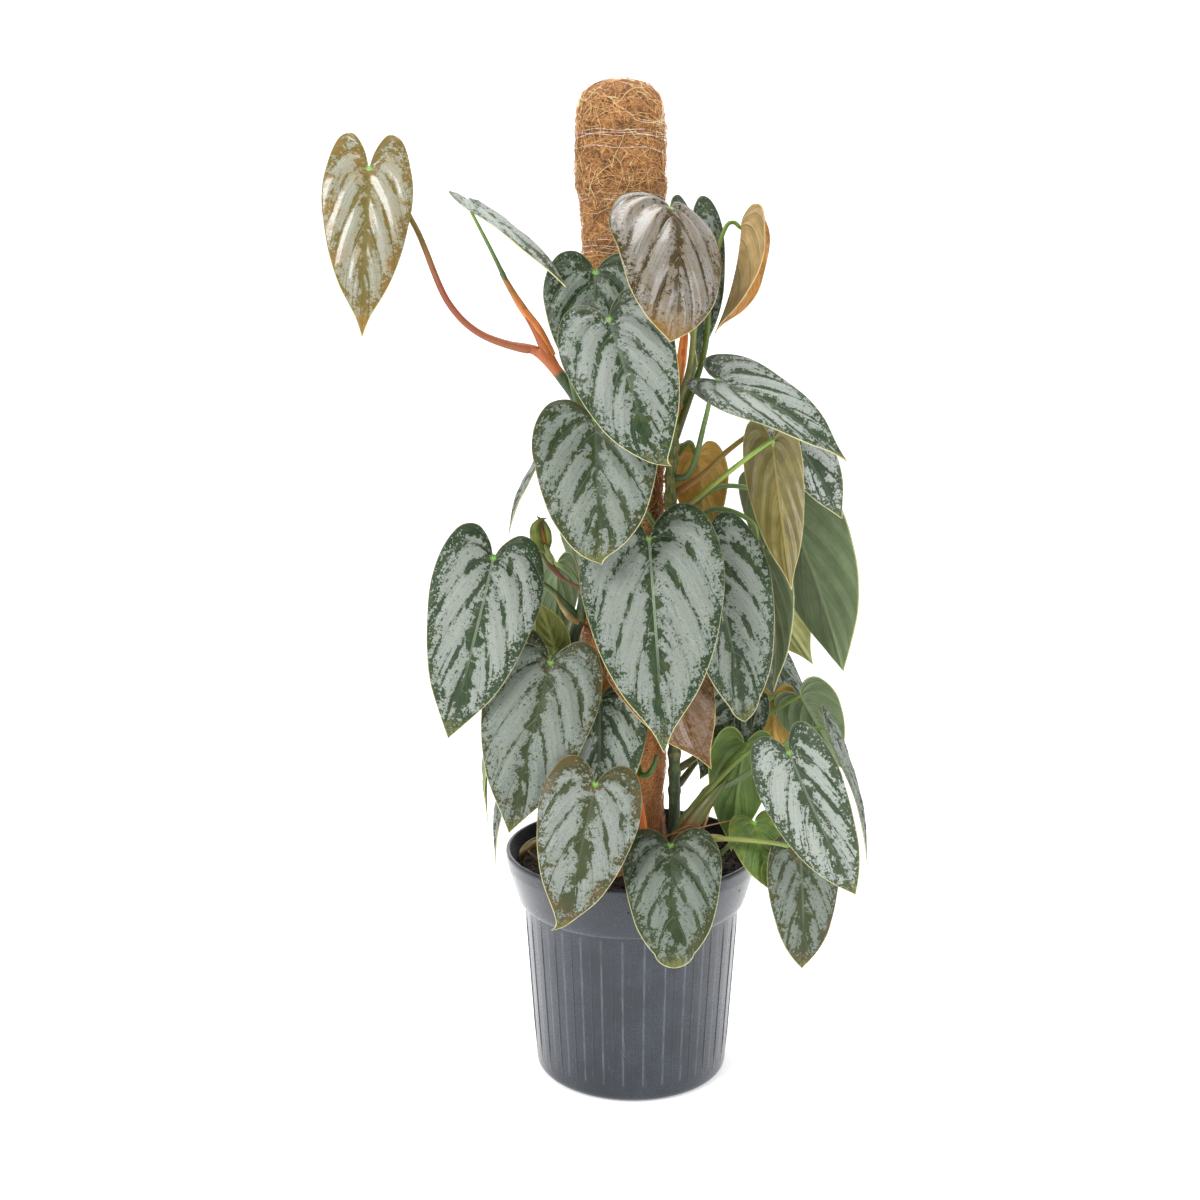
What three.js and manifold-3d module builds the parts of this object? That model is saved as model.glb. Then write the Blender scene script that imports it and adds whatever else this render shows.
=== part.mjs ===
// Potted silver leaf philodendron on a coir pole, in millimetres, +Z up.
// The origin is the centre of the underside of the pot; -Y is the plant's front.

import * as THREE from 'three';
import { mergeVertices } from 'three/addons/utils/BufferGeometryUtils.js';
import Module from 'manifold-3d';

const wasm = await Module();
wasm.setup();

// Driving dimensions
const POT_LIP_RADIUS = 95;
const POT_HEIGHT = 168;
const POT_CREASE = { radius: 93, height: 156 };
const POT_BAND_FOOT = { radius: 85.8, height: 131.5 };
const POT_NECK = { radius: 80.9, height: 127 };
const POT_BODY_FOOT = { radius: 72.2, height: 8 };
const POT_CORNER_RADIUS = 8;
const POT_WALL = 1.7;
const POT_FLOOR = 2.4;
const POT_SEGMENTS = 32;
const RIB_COUNT = 32;
const RIB_WIDTH = 1.6;
const RIB_HEIGHT = 0.6;
const DRAIN_COUNT = 8;
const DRAIN_RADIUS = 5;
const DRAIN_CIRCLE_RADIUS = 50;
const SOIL_LEVEL = 151;
const SOIL_SEGMENTS = 32;
const POLE_FOOT = [-4, 0, 12];
const POLE_TOP = [-9, 0, 730];
const CORE_RADIUS = 12;
const CORE_TOP = 700;
const COIR_RADIUS = 29.8;
const COIR_HEAD = { radius: 31.8, height: 650 };
const COIR_FOOT = 70;
const COIR_DOME = 20;
const THREAD_HEIGHTS = [330, 470, 612, 648, 690];
const BLADE_THICKNESS = 0.9;
const PETIOLE_RADIUS = 2.5;
const PETIOLE_SIDES = 4;
const PETIOLE_STEP = 24;
const STEM_SIDES = 6;
const STEM_STEP = 22;
const GAP = 0.3;

const RADIANS = Math.PI / 180;
const UP = new THREE.Vector3(0, 0, 1);

// Half outline of a blade of length 1: across and along, from the sinus round a lobe to the tip.
const HALF_OUTLINE = [
  [0, 0], [0.045, -0.085], [0.14, -0.155], [0.25, -0.12], [0.325, 0.02], [0.345, 0.19],
  [0.315, 0.37], [0.26, 0.55], [0.175, 0.72], [0.058, 0.88], [0, 1],
];
const HALF_OUTLINE_WIDTH = 0.345;
// How much a blunt leaf's outline points lie further out than on a leaf with a drip tip.
const BLUNT_WIDENING = [0, 0, 0, 0, 0, 0.005, 0.015, 0.035, 0.065, 0.08, 0];
// Where the side vein that ends at each outline point leaves the midrib.
const VEIN_STARTS = [0, 0, 0, 0, 0.02, 0.1, 0.24, 0.42, 0.6, 0.8, 1];
const BLADE_COLUMNS = 2;
const MIDRIB_SOFTNESS = 3;

// Stems: centre line from inside the soil to the growing tip.
const STEMS = {
  left: {
    radius: 4.2,
    points: [
      [-42, -8, 95], [-45, -9, 180], [-46, -12, 260], [-44, -17, 326], [-36, -25, 358],
      [-31, -31, 430], [-38, -33, 500], [-50, -33, 520], [-67, -32, 541],
    ],
  },
  right: {
    radius: 4.3,
    points: [
      [31, -24, 95], [31, -24, 218], [30, -24, 300], [28, -26, 380], [27, -28, 450],
      [31, -28, 515],
    ],
  },
  low: {
    radius: 4.8,
    points: [[26, -46, 95], [27, -47, 150], [32, -46, 190], [47, -46, 213], [64, -46, 232]],
  },
  back: {
    radius: 4,
    points: [[8, 44, 95], [5, 41, 200], [-1, 40, 330], [-9, 40, 450], [-12, 42, 540]],
  },
};

// Leaves: blade base and tip, greatest width, and the way the upper face looks, as azimuth
// (0 is the front, 90 the plant's right) and elevation in degrees. arch bends the midrib,
// fold lifts the halves, twist turns the tip, hook moves it sideways. The petiole leaves
// its stem at height "at" and passes through "via".
const LEAVES = [
  { name: 'leaf_01', tone: 'young', base: [-186, -22, 667], tip: [-190, -42, 549], width: 64,
    face: [4, 6], arch: 18, fold: 8, lobe: 1.4, stem: 'left', at: 541,
    via: [[-76, -32, 541], [-109, -30, 552], [-130, -26, 572], [-155, -14, 627], [-176, -8, 660]] },
  { name: 'leaf_02', tone: 'green', base: [-110, -38, 640], tip: [-46, -78, 582], width: 54,
    face: [68, 40], arch: 14, fold: 6, stem: 'sheath_left', at: 586, via: [[-101, -35, 612]] },
  { name: 'leaf_03', tone: 'bronze', base: [24, -66, 636], tip: [22, -110, 546], width: 86,
    face: [26, 10], arch: 50, fold: -12, lobe: 1.15, blunt: 1, stem: 'right', at: 500,
    via: [[38, -38, 522], [42, -38, 560], [38, -42, 612]] },
  { name: 'leaf_04', tone: 'green', base: [42, -14, 633], tip: [46, -14, 528], width: 54,
    face: [40, 5], stem: 'right', at: 486, via: [[42, -12, 520], [52, 2, 590]] },
  { name: 'leaf_05', tone: 'young', base: [77, -10, 628], tip: [58, -22, 552], width: 72,
    face: [82, 5], fold: 46, stem: 'right', at: 472,
    via: [[50, -32, 540], [54, -26, 585], [60, -17, 612], [68, -11, 630]] },
  { name: 'leaf_06', tone: 'silver', base: [-27, -48, 594], tip: [-31, -60, 506], width: 72,
    face: [0, 8], stem: 'left', at: 492, via: [[-45, -42, 530], [-36, -42, 575]] },
  { name: 'leaf_07', tone: 'silver', base: [-18, -84, 561], tip: [15, -112, 462], width: 78,
    face: [-6, 12], arch: 34, hook: -4, blunt: 0.6, stem: 'right', at: 462,
    via: [[24, -42, 505], [20, -50, 540], [2, -66, 562]] },
  { name: 'leaf_08', tone: 'silver', base: [-27, -66, 493], tip: [-24, -104, 398], width: 88,
    face: [-2, 22], arch: 34, hook: 4, blunt: 1, stem: 'left', at: 440 },
  { name: 'leaf_09', tone: 'silver', base: [10, -70, 411], tip: [20, -100, 267], width: 102,
    face: [0, 10], arch: 26, stem: 'right', at: 352, via: [[22, -44, 380]] },
  { name: 'leaf_10', tone: 'silver', base: [51, -50, 403], tip: [79, -60, 279], width: 80,
    face: [22, 6], fold: 22, blunt: 0.7, stem: 'left', at: 462,
    via: [[-14, -42, 446], [6, -46, 430], [18, -45, 413], [36, -42, 404]] },
  { name: 'leaf_11', tone: 'green', base: [96, -15, 396], tip: [103, -25, 292], width: 62,
    face: [108, 0], stem: 'right', at: 398, via: [[60, -12, 425], [88, -10, 414]] },
  { name: 'leaf_12', tone: 'young', base: [96, -56, 477], tip: [109, -72, 375], width: 60,
    face: [178, -4], fold: 46, stem: 'right', at: 420, via: [[48, -46, 440], [77, -64, 466]] },
  { name: 'leaf_13', tone: 'silver', base: [57, -60, 520], tip: [145, -76, 465], width: 70,
    face: [30, 48], arch: 30, fold: 12, stem: 'right', at: 450,
    via: [[38, -38, 452], [50, -44, 492]] },
  { name: 'leaf_14', tone: 'silver', base: [112, -12, 483], tip: [151, -22, 419], width: 46,
    face: [10, 20], fold: 20, blunt: 0.3, stem: 'right', at: 436,
    via: [[50, -28, 452], [68, -26, 469], [92, -18, 484]] },
  { name: 'leaf_15', tone: 'green', base: [108, 6, 436], tip: [157, -5, 303], width: 84,
    face: [142, 0], fold: 14, blunt: 0.4, stem: 'right', at: 410, via: [[60, -8, 440]] },
  { name: 'leaf_16', tone: 'pale', base: [92, 44, 372], tip: [141, 40, 298], width: 56,
    face: [176, 0], stem: 'right', at: 336, via: [[62, 20, 350]] },
  { name: 'leaf_17', tone: 'silver', base: [-99, -52, 395], tip: [-130, -76, 271], width: 80,
    face: [12, 10], arch: 26, blunt: 0.4, stem: 'left', at: 346, via: [[-62, -36, 372]] },
  { name: 'leaf_18', tone: 'silver', base: [-59, -52, 320], tip: [-88, -74, 202], width: 84,
    face: [-4, 10], arch: 24, blunt: 0.3, stem: 'left', at: 282 },
  { name: 'leaf_19', tone: 'silver', base: [-24, -46, 291], tip: [-25, -60, 205], width: 70,
    face: [4, 8], blunt: 0.4, stem: 'left', at: 246, via: [[-40, -33, 270]] },
  { name: 'leaf_20', tone: 'silver', base: [-27, -88, 242], tip: [-49, -112, 144], width: 72,
    face: [-2, 14], arch: 30, hook: 4, blunt: 0.8, stem: 'left', at: 168,
    via: [[-43, -40, 186], [-37, -66, 206]] },
  { name: 'leaf_21', tone: 'silver', base: [26, -76, 194], tip: [27, -116, 121], width: 70,
    face: [0, 30], arch: 56, blunt: 1, stem: 'low', at: 164, via: [[28, -66, 180]] },
  { name: 'leaf_22', tone: 'silver', base: [110, -64, 258], tip: [156, -82, 160], width: 66,
    face: [-26, 16], arch: 20, fold: 22, blunt: 0.6, stem: 'low', at: 204,
    via: [[62, -54, 236], [86, -58, 258]] },
  { name: 'leaf_23', tone: 'silver', base: [120, -54, 181], tip: [121, -66, 99], width: 56,
    face: [16, 12], blunt: 0.7, stem: 'low', at: 182, via: [[54, -62, 194], [98, -64, 192]] },
  { name: 'leaf_24', tone: 'silver', base: [142, -36, 268], tip: [170, -48, 169], width: 46,
    face: [76, 14], stem: 'low', at: 222, via: [[74, -52, 234], [92, -50, 246], [122, -42, 266]] },
  { name: 'leaf_25', tone: 'green', base: [127, 8, 281], tip: [158, 2, 227], width: 50,
    face: [168, 0], stem: 'right', at: 232, via: [[60, -6, 246], [94, -4, 266]] },
  { name: 'leaf_26', tone: 'silver', base: [108, 46, 305], tip: [140, 42, 240], width: 44,
    face: [60, 10], stem: 'right', at: 278, via: [[70, 8, 300]] },
  { name: 'leaf_27', tone: 'young', base: [107, 16, 278], tip: [110, 13, 211], width: 42,
    face: [176, 0], stem: 'right', at: 218, via: [[65, 6, 250]] },
  { name: 'leaf_28', tone: 'bronze', base: [5, -44, 340], tip: [55, -66, 246], width: 74,
    face: [4, 8], arch: 18, stem: 'right', at: 308, via: [[18, -36, 330]] },
  { name: 'leaf_29', tone: 'silver', base: [80, -16, 287], tip: [50, -18, 224], width: 52,
    face: [-10, 8], stem: 'right', at: 246, via: [[50, -8, 268]] },
  { name: 'leaf_30', tone: 'fresh', base: [82, -30, 254], tip: [72, -38, 176], width: 50,
    face: [184, 0], stem: 'low', at: 230 },
  { name: 'leaf_31', tone: 'fresh', base: [88, -44, 200], tip: [97, -62, 157], width: 44,
    face: [10, 35], arch: 34, blunt: 0.5, stem: 'low', at: 158, via: [[50, -46, 164], [70, -46, 184]] },
  { name: 'leaf_32', tone: 'green', base: [-56, 2, 382], tip: [-60, -2, 314], width: 36,
    face: [164, 0], stem: 'left', at: 366, via: [[-47, -14, 380]] },
  { name: 'leaf_33', tone: 'fresh', base: [-56, -26, 326], tip: [-68, -28, 360], width: 26,
    face: [170, 0], stem: 'left', at: 312 },
  { name: 'leaf_34', tone: 'silver', base: [-64, -10, 464], tip: [-90, -20, 408], width: 46,
    face: [-82, 10], stem: 'left', at: 420, via: [[-48, -22, 450]] },
  { name: 'leaf_35', tone: 'fresh', base: [-97, -20, 285], tip: [-106, -32, 196], width: 56,
    face: [-84, 6], stem: 'left', at: 224, via: [[-70, -14, 262]] },
  { name: 'leaf_36', tone: 'pale', base: [-84, 2, 246], tip: [-102, -14, 158], width: 52,
    face: [-80, 10], stem: 'left', at: 204, via: [[-64, -2, 236]] },
  { name: 'leaf_37', tone: 'young', base: [48, 4, 462], tip: [52, -4, 392], width: 44,
    face: [160, 0], stem: 'right', at: 462, via: [[40, -18, 474]] },
  { name: 'leaf_38', tone: 'silver', base: [-22, 76, 596], tip: [-30, 98, 492], width: 64,
    face: [184, 8], arch: 26, stem: 'back', at: 536 },
  { name: 'leaf_39', tone: 'silver', base: [6, 66, 520], tip: [12, 88, 420], width: 60,
    face: [176, 8], arch: 26, stem: 'back', at: 490 },
  { name: 'leaf_40', tone: 'silver', base: [-30, 66, 452], tip: [-38, 90, 346], width: 58,
    face: [186, 8], arch: 28, stem: 'back', at: 416 },
  { name: 'leaf_41', tone: 'silver', base: [34, 84, 398], tip: [42, 112, 286], width: 80,
    face: [176, 8], arch: 28, stem: 'back', at: 362 },
  { name: 'leaf_42', tone: 'silver', base: [-44, 72, 330], tip: [-66, 98, 224], width: 78,
    face: [196, 8], arch: 26, stem: 'back', at: 288 },
  { name: 'leaf_43', tone: 'silver', base: [90, 60, 296], tip: [106, 78, 204], width: 56,
    face: [164, 10], arch: 28, stem: 'back', at: 238 },
  { name: 'leaf_44', tone: 'silver', base: [-8, 84, 226], tip: [-14, 118, 146], width: 68,
    face: [184, 20], arch: 44, stem: 'back', at: 190, via: [[2, 66, 218]] },
];

// Cataphylls and shoots: tapered closed bracts round a growing point.
const BRACTS = {
  sheath_left: { tone: 'orange', radii: [3.6, 3.8, 3, 1.8], stem: 'left',
    points: [[-58, -32, 536], [-66, -33, 552], [-80, -33, 572], [-93, -33, 594]] },
  sheath_right: { tone: 'orange', radii: [3.8, 4.2, 3.4, 0.6], stem: 'right',
    points: [[31, -28, 515], [33, -29, 528], [35, -31, 545], [37, -33, 566]] },
  shoot_front: { tone: 'orange', radii: [3.6, 4, 3.4, 0.6],
    points: [[11, -41, 120], [10, -41, 165], [7, -42, 200], [3, -44, 236]] },
  dead_sheath: { tone: 'dry', radii: [2.6, 3.4, 3, 0.8],
    points: [[-58, -32, 135], [-60, -34, 152], [-66, -38, 165], [-76, -40, 178]] },
  withered_bud: { tone: 'dry', radii: [1.5, 1.3, 3.2, 3.6, 1], stem: 'left',
    points: [[-35, -27, 368], [-52, -31, 378], [-63, -30, 392], [-68, -30, 404], [-72, -31, 417]] },
};

// Materials
function finish(color, roughness) {
  return new THREE.MeshStandardMaterial({ color, roughness, metalness: 0 });
}

const FINISHES = {
  pot: finish(0x3b424c, 0.35),
  soil: finish(0x1d1815, 0.95),
  core: finish(0xa98a5e, 0.8),
  coir: finish(0xa8744c, 0.95),
  stem: finish(0x47532b, 0.5),
  silver: finish(0x8d9b94, 0.4),
  bronze: finish(0x8f8571, 0.3),
  young: finish(0xa8934f, 0.35),
  green: finish(0x6b7f62, 0.5),
  fresh: finish(0x5f8a3a, 0.4),
  pale: finish(0xb0ba78, 0.5),
  orange: finish(0xb5622c, 0.5),
  dry: finish(0x96784a, 0.8),
};

// Mesh helpers
function vector(values) {
  return new THREE.Vector3(...values);
}

function indexed(positions, triangles) {
  const geometry = new THREE.BufferGeometry();
  geometry.setAttribute('position', new THREE.Float32BufferAttribute(positions, 3));
  geometry.setIndex(triangles);
  return geometry;
}

function welded(source) {
  const bare = source.clone();
  bare.deleteAttribute('normal');
  bare.deleteAttribute('uv');
  const merged = mergeVertices(bare, 1e-4);
  const corners = merged.index.array;
  const kept = [];
  for (let i = 0; i < corners.length; i += 3) {
    const [a, b, c] = [corners[i], corners[i + 1], corners[i + 2]];
    if (a !== b && b !== c && c !== a) kept.push(a, b, c);
  }
  return indexed(Array.from(merged.attributes.position.array), kept);
}

function toSolid(geometry) {
  return new wasm.Manifold(new wasm.Mesh({
    numProp: 3,
    vertProperties: new Float32Array(geometry.attributes.position.array),
    triVerts: new Uint32Array(geometry.index.array),
  }));
}

function fromSolid(solid) {
  const mesh = solid.getMesh();
  return indexed(Array.from(mesh.vertProperties), Array.from(mesh.triVerts));
}

function largestBody(solid) {
  const bodies = solid.decompose();
  return bodies.reduce((best, body) => (body.volume() > best.volume() ? body : best));
}

// A closed tube with flat ends along the path, with one radius for each of its points.
function tube(path, radii, sides) {
  const positions = [];
  const triangles = [];
  let side = new THREE.Vector3(0.97, 0.2, 0.14);
  path.forEach((point, i) => {
    const before = path[Math.max(i - 1, 0)];
    const after = path[Math.min(i + 1, path.length - 1)];
    const ahead = after.clone().sub(before).normalize();
    side = side.clone().addScaledVector(ahead, -side.dot(ahead)).normalize();
    const other = ahead.clone().cross(side);
    for (let k = 0; k < sides; k += 1) {
      const angle = (2 * Math.PI * k) / sides;
      const corner = point.clone();
      corner.addScaledVector(side, radii[i] * Math.cos(angle));
      corner.addScaledVector(other, radii[i] * Math.sin(angle));
      positions.push(corner.x, corner.y, corner.z);
    }
  });
  for (let i = 0; i < path.length - 1; i += 1) {
    for (let k = 0; k < sides; k += 1) {
      const next = (k + 1) % sides;
      const [a, b] = [i * sides + k, i * sides + next];
      triangles.push(a, b, b + sides, a, b + sides, a + sides);
    }
  }
  const last = (path.length - 1) * sides;
  for (let k = 1; k < sides - 1; k += 1) {
    triangles.push(0, k + 1, k, last, last + k, last + k + 1);
  }
  return indexed(positions, triangles);
}

// A turned solid from a profile of [radius, height] points that starts and ends on the axis.
function turned(profile, segments) {
  const points = profile.map(([radius, height]) => new THREE.Vector2(radius, height));
  const lathe = new THREE.LatheGeometry(points, segments);
  lathe.rotateX(Math.PI / 2);
  return welded(lathe);
}

// Pot
function potProfile() {
  const profile = [[0, 0]];
  const centreRadius = POT_BODY_FOOT.radius - POT_CORNER_RADIUS;
  for (let step = 0; step <= 2; step += 1) {
    const angle = (step / 2) * 85 * RADIANS;
    profile.push([
      centreRadius + POT_CORNER_RADIUS * Math.sin(angle),
      POT_CORNER_RADIUS * (1 - Math.cos(angle)),
    ]);
  }
  profile.push(
    [POT_NECK.radius, POT_NECK.height],
    [POT_BAND_FOOT.radius, POT_BAND_FOOT.height],
    [POT_CREASE.radius, POT_CREASE.height],
    [POT_LIP_RADIUS, POT_HEIGHT - 1.2],
    [POT_LIP_RADIUS - 1.2, POT_HEIGHT],
    [POT_LIP_RADIUS - 2.6, POT_HEIGHT],
    ...potLining(0),
  );
  return profile;
}

// The inner face of the pot from the lip to the middle of its floor, shrunk by a clearance.
function potLining(clearance) {
  const inset = POT_WALL + clearance;
  return [
    [POT_CREASE.radius - inset, POT_CREASE.height],
    [POT_BAND_FOOT.radius - inset, POT_BAND_FOOT.height],
    [POT_NECK.radius - inset, POT_NECK.height],
    [POT_BODY_FOOT.radius - inset, POT_BODY_FOOT.height + POT_FLOOR],
    [POT_BODY_FOOT.radius - POT_CORNER_RADIUS - inset, POT_FLOOR + clearance],
    [0, POT_FLOOR + clearance],
  ];
}

// A rib on the middle of a facet of the pot's body.
function ribSolid(angle) {
  const sunk = 1;
  const facet = Math.cos(Math.PI / POT_SEGMENTS);
  const low = { radius: POT_BODY_FOOT.radius, height: POT_BODY_FOOT.height + 1 };
  const high = { radius: POT_NECK.radius, height: POT_NECK.height - 2 };
  const positions = [];
  [low, high].forEach(({ radius, height }) => {
    const corners = [[-sunk, -1], [RIB_HEIGHT, -0.5], [RIB_HEIGHT, 0.5], [-sunk, 1]];
    corners.forEach(([out, across]) => {
      const corner = new THREE.Vector3(radius * facet + out, (across * RIB_WIDTH) / 2, height);
      corner.applyAxisAngle(UP, angle);
      positions.push(corner.x, corner.y, corner.z);
    });
  });
  const triangles = [0, 2, 1, 0, 3, 2, 4, 5, 6, 4, 6, 7];
  for (let k = 0; k < 4; k += 1) {
    const next = (k + 1) % 4;
    triangles.push(k, next, next + 4, k, next + 4, k + 4);
  }
  return toSolid(indexed(positions, triangles));
}

function drainSolid(angle) {
  const hole = new THREE.CylinderGeometry(DRAIN_RADIUS, DRAIN_RADIUS, 3 * POT_FLOOR, 10);
  hole.rotateX(Math.PI / 2);
  hole.translate(DRAIN_CIRCLE_RADIUS * Math.cos(angle), DRAIN_CIRCLE_RADIUS * Math.sin(angle), 0);
  return toSolid(welded(hole));
}

function potGeometry() {
  let pot = toSolid(turned(potProfile(), POT_SEGMENTS));
  for (let rib = 0; rib < RIB_COUNT; rib += 1) {
    pot = pot.add(ribSolid(((rib + 0.5) / RIB_COUNT) * 2 * Math.PI));
  }
  for (let hole = 0; hole < DRAIN_COUNT; hole += 1) {
    pot = pot.subtract(drainSolid(((hole + 0.5) / DRAIN_COUNT) * 2 * Math.PI));
  }
  return fromSolid(pot);
}

// Coir pole
function poleCentre(height) {
  const share = (height - POLE_FOOT[2]) / (POLE_TOP[2] - POLE_FOOT[2]);
  return vector(POLE_FOOT).lerp(vector(POLE_TOP), share);
}

function coreRod(clearance) {
  const ends = [poleCentre(POLE_FOOT[2] - clearance), poleCentre(CORE_TOP + clearance)];
  return tube(ends, [CORE_RADIUS + clearance, CORE_RADIUS + clearance], 16);
}

function coirRadius(height) {
  const lumps = 0.9 * Math.sin(height / 17) + 0.5 * Math.sin(height / 7.3 + 1);
  const belowTop = POLE_TOP[2] - height;
  const dome = belowTop < COIR_DOME ? (1 - (1 - belowTop / COIR_DOME) ** 2.4) ** 0.42 : 1;
  const pinch = THREAD_HEIGHTS.some((thread) => Math.abs(thread - height) < 2) ? 0.9 : 0;
  const rise = THREE.MathUtils.smoothstep(height, COIR_HEAD.height - 8, COIR_HEAD.height + 8);
  const radius = THREE.MathUtils.lerp(COIR_RADIUS, COIR_HEAD.radius, rise);
  return (radius + lumps - pinch) * Math.max(dome, 0.4);
}

function coirRod(clearance) {
  const heights = [COIR_FOOT - clearance, 200, 265, 395, 540, 668];
  THREAD_HEIGHTS.forEach((thread) => heights.push(thread - 6, thread, thread + 6));
  [0, 0.45, 0.8, 1].forEach((share) => heights.push(POLE_TOP[2] - COIR_DOME * (1 - share)));
  heights.sort((a, b) => a - b);
  const radii = heights.map((height) => coirRadius(height) + clearance);
  return tube(heights.map(poleCentre), radii, 14);
}

function coirGeometry() {
  const hollow = toSolid(coreRod(GAP));
  return fromSolid(toSolid(coirRod(0)).subtract(hollow));
}

// Stems
function stemNodes(name) {
  return LEAVES.filter((leaf) => leaf.stem === name).map((leaf) => leaf.at);
}

function stemPath(name) {
  const curve = new THREE.CatmullRomCurve3(STEMS[name].points.map(vector), false, 'centripetal');
  const steps = Math.ceil(curve.getLength() / STEM_STEP);
  return curve.getSpacedPoints(steps);
}

function stemTube(name, clearance) {
  const path = stemPath(name);
  const nodes = stemNodes(name);
  const { radius } = STEMS[name];
  const radii = path.map((point, i) => {
    const swelling = nodes.some((node) => Math.abs(node - point.z) < STEM_STEP / 2) ? 0.9 : 0;
    const taper = i === path.length - 1 ? 0.8 : 1;
    return (radius + swelling) * taper + clearance;
  });
  return tube(path, radii, STEM_SIDES);
}

// Bracts
function bractPath(name) {
  const curve = new THREE.CatmullRomCurve3(BRACTS[name].points.map(vector), false, 'centripetal');
  return curve.getPoints(2 * (BRACTS[name].points.length - 1));
}

function bractTube(name, clearance) {
  const { radii } = BRACTS[name];
  const path = bractPath(name);
  const grown = path.map((_, i) => {
    const place = (i / (path.length - 1)) * (radii.length - 1);
    const lower = Math.min(Math.floor(place), radii.length - 2);
    return THREE.MathUtils.lerp(radii[lower], radii[lower + 1], place - lower) + clearance;
  });
  return tube(path, grown, 6);
}

function carrierPath(name) {
  return name in STEMS ? stemPath(name) : bractPath(name);
}

function carrierTube(name, clearance) {
  return name in STEMS ? stemTube(name, clearance) : bractTube(name, clearance);
}

function bractGeometry(name) {
  let bract = toSolid(bractTube(name, 0));
  const { stem } = BRACTS[name];
  if (stem) bract = largestBody(bract.subtract(toSolid(carrierTube(stem, GAP))));
  return fromSolid(bract);
}

// Soil
function soilGeometry() {
  const rings = [0.86, 0.52];
  const lining = potLining(GAP);
  const rimRadius = THREE.MathUtils.mapLinear(
    SOIL_LEVEL, POT_BAND_FOOT.height, POT_CREASE.height, lining[1][0], lining[0][0]);
  const profile = [[0, SOIL_LEVEL + 3]];
  rings.slice().reverse().forEach((share) => profile.push([rimRadius * share, SOIL_LEVEL + 3]));
  profile.push([rimRadius, SOIL_LEVEL], ...lining.slice(1));
  const geometry = turned(profile.reverse(), SOIL_SEGMENTS);
  const spots = geometry.attributes.position;
  for (let i = 0; i < spots.count; i += 1) {
    if (spots.getZ(i) > SOIL_LEVEL + 1) {
      const [x, y] = [spots.getX(i), spots.getY(i)];
      const clods = 1.4 * Math.sin(x / 7.1 + 2) * Math.cos(y / 5.3) + 0.9 * Math.sin((x + y) / 3.7);
      spots.setZ(i, spots.getZ(i) - 1.5 + clods);
    }
  }
  let soil = toSolid(geometry);
  soil = soil.subtract(toSolid(coirRod(GAP))).subtract(toSolid(coreRod(GAP)));
  Object.keys(STEMS).forEach((name) => {
    soil = soil.subtract(toSolid(stemTube(name, GAP)));
  });
  ['shoot_front', 'dead_sheath'].forEach((name) => {
    soil = soil.subtract(toSolid(bractTube(name, GAP)));
  });
  return fromSolid(largestBody(soil));
}

// Leaves
function leafFrame(leaf) {
  const base = vector(leaf.base);
  const along = vector(leaf.tip).sub(base);
  const chord = along.length();
  along.normalize();
  const [azimuth, elevation] = leaf.face.map((angle) => angle * RADIANS);
  const out = new THREE.Vector3(
    Math.sin(azimuth) * Math.cos(elevation),
    -Math.cos(azimuth) * Math.cos(elevation),
    Math.sin(elevation),
  );
  out.addScaledVector(along, -out.dot(along)).normalize();
  const across = along.clone().cross(out);
  return { base, along, out, across, chord };
}

// A point of the blade's middle surface: x across and y along the unbent blade, in millimetres.
function bladePoint(leaf, frame, x, y) {
  const arch = (leaf.arch ?? 22) * RADIANS;
  const fold = (leaf.fold ?? 12) * RADIANS;
  const length = (frame.chord * arch) / 2 / Math.sin(arch / 2);
  const halfWidth = leaf.width / 2;
  const spread = Math.abs(x) / halfWidth;
  const place = y / length;
  const phase = leaf.base[0] * 0.37 + Math.sign(x) * 0.9;
  const valley = Math.sqrt(x * x + MIDRIB_SOFTNESS ** 2) - MIDRIB_SOFTNESS;
  const lift = valley * Math.sin(fold)
    - 0.11 * halfWidth * spread ** 2
    + 0.035 * halfWidth * spread ** 2 * Math.sin(9 * place + phase);
  const turn = (leaf.twist ?? 0) * RADIANS * (place - 0.3);
  const hook = (leaf.hook ?? 0) * Math.max(0, (place - 0.72) / 0.28) ** 2;
  const spreadOut = x * Math.cos(fold);
  const sideways = spreadOut * Math.cos(turn) - lift * Math.sin(turn) + hook;
  const raised = spreadOut * Math.sin(turn) + lift * Math.cos(turn);
  const bend = arch * (place - 0.5);
  const radius = length / arch;
  const forward = radius * (Math.sin(bend) + Math.sin(arch / 2)) + raised * Math.sin(bend);
  const upward = radius * (Math.cos(bend) - Math.cos(arch / 2)) + raised * Math.cos(bend);
  return frame.base.clone()
    .addScaledVector(frame.across, sideways)
    .addScaledVector(frame.along, forward)
    .addScaledVector(frame.out, upward);
}

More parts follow.
